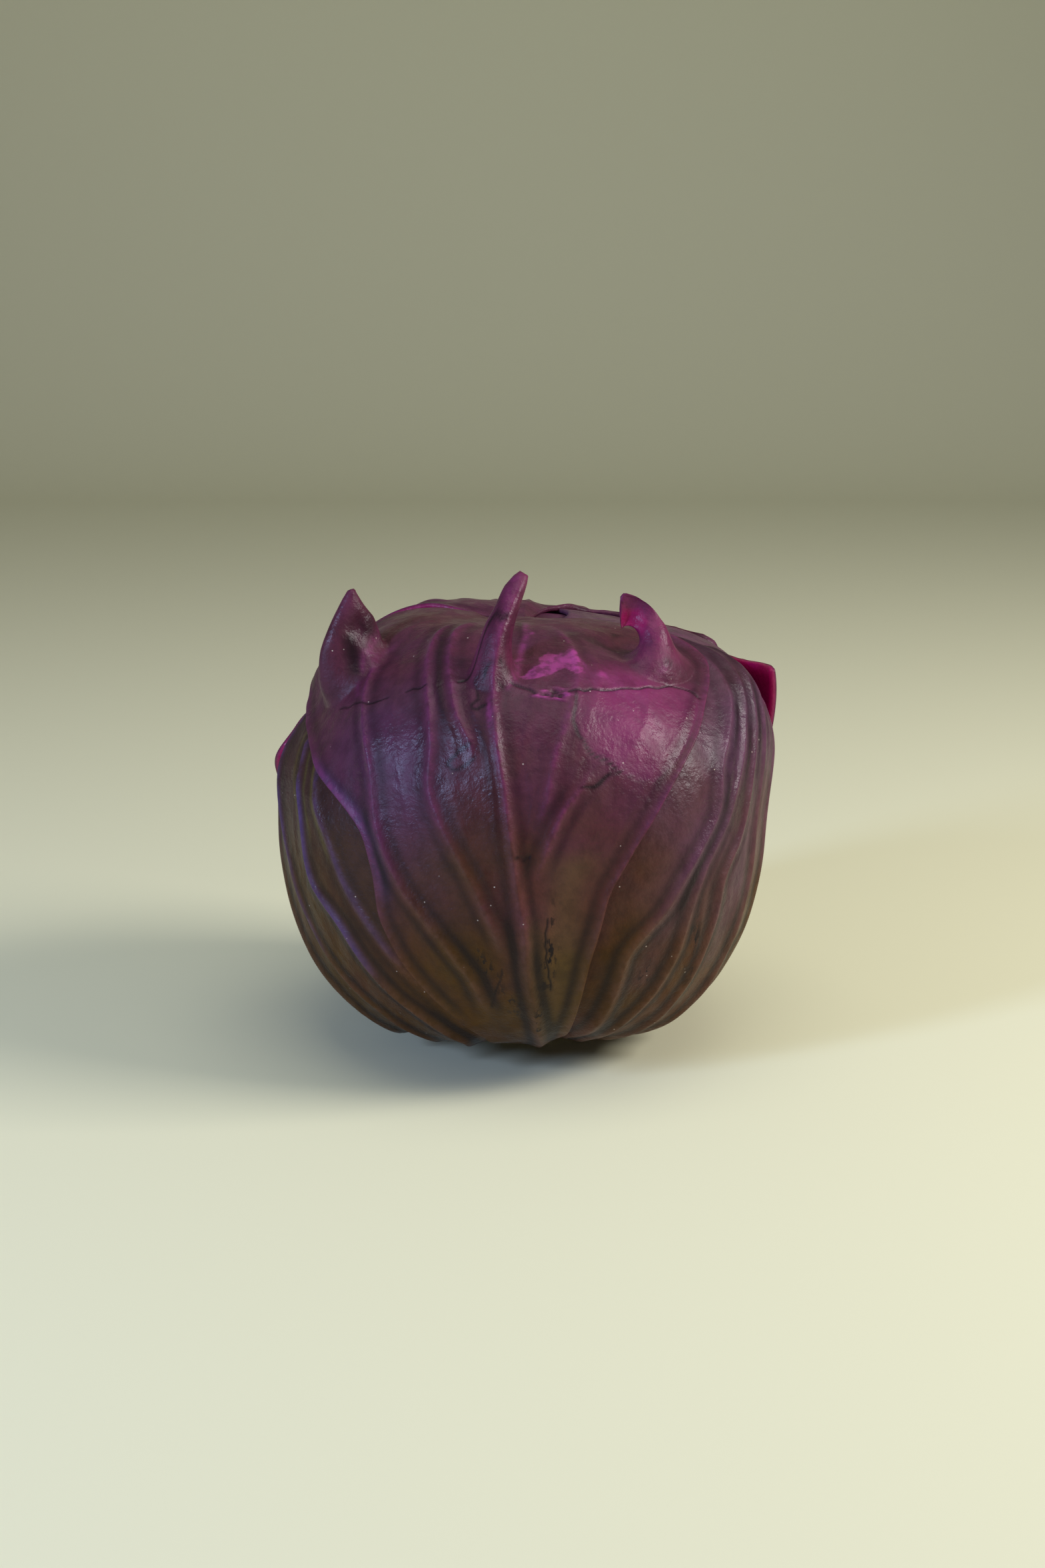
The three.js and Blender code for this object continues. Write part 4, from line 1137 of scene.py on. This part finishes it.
# Pale brown crest colour low on the head: a painted highlight
LOW_CREST_HIGHLIGHT_COLOUR = srgb(112, 78, 66)
DUST = srgb(190, 178, 168)
ROSY = srgb(128, 40, 92)
CUT_STEM = srgb(150, 128, 92), srgb(196, 182, 146)
FLOOR_COLOUR = (0.66, 0.66, 0.46, 1)

# Colours of each skin: the upper part, its crests (rubbed skin and painted highlight), its bared skin,
# its inner face
SKINS = {
    "front_leaf": ((80, 42, 58), (146, 60, 118), (136, 54, 104), (150, 16, 84)),
    "left_leaf": ((62, 41, 42), (110, 80, 140), (100, 52, 98), (186, 14, 96)),
    "right_leaf": ((86, 54, 72), (124, 70, 104), (120, 54, 98), (150, 16, 84)),
    "back_leaf": ((80, 40, 60), (124, 58, 106), (120, 54, 98), (190, 16, 104)),
    "inner_head": ((80, 44, 64), (124, 58, 106), (120, 54, 98), (150, 16, 84)),
}

# Heights in metres between which a skin turns from its foot colour to its upper colour
FOOT_BAND = (0.036, 0.1)
CREST_BAND = (0.045, 0.095)
FOOT_DRIFT = 0.09


def put(tree, socket, value):
    if isinstance(value, bpy.types.NodeSocket):
        tree.links.new(value, socket)
    else:
        socket.default_value = value


def add_node(tree, kind, inputs=None, **settings):
    node = tree.nodes.new(kind)
    for name, value in settings.items():
        setattr(node, name, value)
    for name, value in (inputs or {}).items():
        put(tree, node.inputs[name], value)
    return node


def multiply(tree, a, b, operation="MULTIPLY"):
    return add_node(tree, "ShaderNodeMath", {0: a, 1: b}, operation=operation).outputs[0]


def add_up(tree, a, b):
    return multiply(tree, a, b, "ADD")


def mix_colour(tree, share, a, b):
    return add_node(tree, "ShaderNodeMix", {0: share, 6: a, 7: b}, data_type="RGBA").outputs[2]


def ramp(tree, value, low, high, to_low=0.0, to_high=1.0):
    inputs = {"Value": value, "From Min": low, "From Max": high, "To Min": to_low, "To Max": to_high}
    settings = {"clamp": True, "interpolation_type": "SMOOTHSTEP"}
    return add_node(tree, "ShaderNodeMapRange", inputs, **settings).outputs[0]


def noise(tree, position, scale, detail=3.0, roughness=0.5):
    inputs = {"Vector": position, "Scale": scale, "Detail": detail, "Roughness": roughness}
    return add_node(tree, "ShaderNodeTexNoise", inputs).outputs["Fac"]


def stretched(tree, position, rise):
    """The same place with its height scaled, so that a pattern runs long up the head."""
    inputs = {0: position, 1: (1.0, 1.0, rise)}
    return add_node(tree, "ShaderNodeVectorMath", inputs, operation="MULTIPLY").outputs[0]


def part_of(tree, vector, axis):
    return add_node(tree, "ShaderNodeSeparateXYZ", {0: vector}).outputs[axis]


def dust(tree, position):
    """Sparse tiny specks."""
    cells = add_node(tree, "ShaderNodeTexVoronoi", {"Vector": position, "Scale": 260})
    speck = ramp(tree, cells.outputs["Distance"], 0.03, 0.075, 1.0, 0.0)
    some = ramp(tree, part_of(tree, cells.outputs["Color"], "X"), 0.6, 0.64)
    return multiply(tree, speck, multiply(tree, some, 0.7))


def mark(tree, kind, share=1.0):
    """How much of a kind of mark shows, thinned by a number or a pattern."""
    amount = add_node(tree, "ShaderNodeAttribute", attribute_name=kind).outputs["Fac"]
    return multiply(tree, amount, share)


def new_material(name):
    material = bpy.data.materials.new(name)
    material.use_nodes = True
    return material, material.node_tree, material.node_tree.nodes["Principled BSDF"]


def leaf_layers(tree, position, level, upper, rubbed, bared, inner):
    """What lies over a leaf's plain skin, from below: share of each layer and its colour."""
    upwards = ramp(tree, level, *FOOT_BAND)
    crest = mix_colour(tree, ramp(tree, level, *CREST_BAND), LOW_CREST_HIGHLIGHT_COLOUR, rubbed)
    mottled = ramp(tree, noise(tree, position, 48, 3), 0.42, 0.68, 0.0, 0.5)
    ruddy = ramp(tree, noise(tree, position, 26, 2), 0.5, 0.72, 0.0, 0.4)
    pores = ramp(tree, noise(tree, position, 260, 4, 0.6), 0.35, 0.7, 0.0, 0.3)
    patchy = ramp(tree, noise(tree, position, 420, 3), 0.34, 0.62, 0.3, 1.0)
    crazing = ramp(tree, noise(tree, stretched(tree, position, 0.35), 520, 4, 0.7), 0.53, 0.6)
    return [
        (mottled, mix_colour(tree, 0.5, FOOT, upper)),
        (ruddy, mix_colour(tree, upwards, RUDDY, upper)),
        # Painted greenish reflection
        (mark(tree, "green"), PAINTED_REFLECTION),
        # Painted bluish sheen
        (mark(tree, "cool"), PAINTED_SHEEN),
        (mark(tree, "rosy"), ROSY),
        (pores, DEEP),
        (mark(tree, "bared", 0.45), bared),
        # Crests: rubbed skin, and a painted highlight
        (mark(tree, "rub", patchy), crest),
        (mark(tree, "inside"), inner),
        # Dark cracks and torn edges, together with painted shade in hollows and furrows
        (mark(tree, "dark", 0.85), DEEP),
        (mark(tree, "crazed", crazing), DEEP),
        (dust(tree, position), DUST),
    ]


def leaf_material(name):
    """Waxy leaf skin: mottled, olive at the foot, paler on ribs, magenta inside, with painted light
    and shade.
    """
    material, tree, shader = new_material(name)
    colours = [srgb(*colour) for colour in SKINS[name]]
    position = add_node(tree, "ShaderNodeTexCoord").outputs["Object"]
    drift = multiply(tree, noise(tree, position, 30, 2), FOOT_DRIFT)
    height = add_up(tree, part_of(tree, position, "Z"), -FOOT_DRIFT / 2)
    level = add_up(tree, height, drift)
    colour = mix_colour(tree, ramp(tree, level, *FOOT_BAND), FOOT, colours[0])
    for share, tint in leaf_layers(tree, position, level, *colours):
        colour = mix_colour(tree, share, colour, tint)
    put(tree, shader.inputs["Base Color"], colour)
    streaks = noise(tree, stretched(tree, position, 0.3), 170, 3)
    put(tree, shader.inputs["Roughness"], ramp(tree, streaks, 0.36, 0.66, 0.3, 0.5))
    shader.inputs["Specular IOR Level"].default_value = 0.19
    coarse = multiply(tree, noise(tree, position, 300, 3), 1.8)
    grain = add_up(tree, noise(tree, position, 900, 3, 0.6), coarse)
    add_bump(tree, shader, grain, 0.62, 0.0003)
    return material


def add_bump(tree, shader, height, strength, distance):
    inputs = {"Strength": strength, "Distance": distance, "Height": height}
    put(tree, shader.inputs["Normal"], add_node(tree, "ShaderNodeBump", inputs).outputs[0])


def stump_material():
    """Pale fibrous cut stem."""
    material, tree, shader = new_material("stem_stump")
    position = add_node(tree, "ShaderNodeTexCoord").outputs["Object"]
    grain = noise(tree, position, 180, 4, 0.6)
    colour = mix_colour(tree, ramp(tree, grain, 0.3, 0.7), *CUT_STEM)
    put(tree, shader.inputs["Base Color"], colour)
    shader.inputs["Roughness"].default_value = 0.75
    add_bump(tree, shader, grain, 0.4, 0.0004)
    return material


def add_object(name, data):
    item = bpy.data.objects.new(name, data)
    bpy.context.collection.objects.link(item)
    return item


def add_piece(name, mesh, material):
    piece = add_object(name + "_skin", mesh)
    mesh.materials.append(material)
    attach(piece, "root")
    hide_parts(name)


def add_softbox(name, azimuth, elevation, distance, size, power, colour):
    """A rectangular light at an azimuth round the head, 0 at the front, growing to the right."""
    a, e = math.radians(azimuth), math.radians(elevation)
    away = Vector((math.sin(a) * math.cos(e), -math.cos(a) * math.cos(e), math.sin(e)))
    data = bpy.data.lights.new(name, "AREA")
    data.shape = "RECTANGLE"
    data.size, data.size_y = size
    data.energy = power
    data.color = colour
    lamp = add_object(name, data)
    lamp.location = Vector(LIGHT_AIM) + away * distance
    lamp.rotation_euler = away.to_track_quat("Z", "Y").to_euler()


def add_floor():
    """A pale floor that bends up into a backdrop behind the head."""
    front, back, bend, top, half_width, steps = -1.2, 1.4, 0.5, 1.6, 2.4, 12
    profile = [(front, 0.0)]
    for i in range(steps + 1):
        a = math.pi / 2 * i / steps
        profile.append((back + bend * math.sin(a), bend * (1 - math.cos(a))))
    profile.append((back + bend, top))
    points = [(x, y, z) for y, z in profile for x in (-half_width, half_width)]
    faces = [(2 * i, 2 * i + 1, 2 * i + 3, 2 * i + 2) for i in range(len(profile) - 1)]
    mesh = bpy.data.meshes.new("floor")
    mesh.from_pydata(points, [], faces)
    mesh.polygons.foreach_set("use_smooth", [True] * len(faces))
    material, _, shader = new_material("floor")
    shader.inputs["Base Color"].default_value = FLOOR_COLOUR
    shader.inputs["Roughness"].default_value = 0.8
    mesh.materials.append(material)
    floor = add_object("floor", mesh)


def add_camera():
    elevation = math.radians(CAMERA_ELEVATION)
    back = Vector((0, -math.cos(elevation), math.sin(elevation)))
    data = bpy.data.cameras.new("camera")
    data.lens, data.sensor_width = LENS, SENSOR_WIDTH
    camera = add_object("camera", data)
    camera.location = Vector(CAMERA_AIM) + back * CAMERA_DISTANCE
    camera.rotation_euler = back.to_track_quat("Z", "Y").to_euler()
    bpy.context.scene.camera = camera


def light_scene():
    bpy.context.scene.view_settings.view_transform = "Standard"
    world = bpy.data.worlds.new("ambient")
    world.use_nodes = True
    for name, value in AMBIENT.items():
        world.node_tree.nodes["Background"].inputs[name].default_value = value
    bpy.context.scene.world = world
    for light in LIGHTS:
        add_softbox(*light)


def main():
    for leaf in (FRONT_LEAF, LEFT_LEAF, RIGHT_LEAF, BACK_LEAF):
        add_piece(leaf["name"], leaf_mesh(leaf), leaf_material(leaf["name"]))
    add_piece("inner_head", heart_mesh(), leaf_material("inner_head"))
    add_piece("stem_stump", stump_mesh(), stump_material())
    add_floor()
    light_scene()
    add_camera()


main()
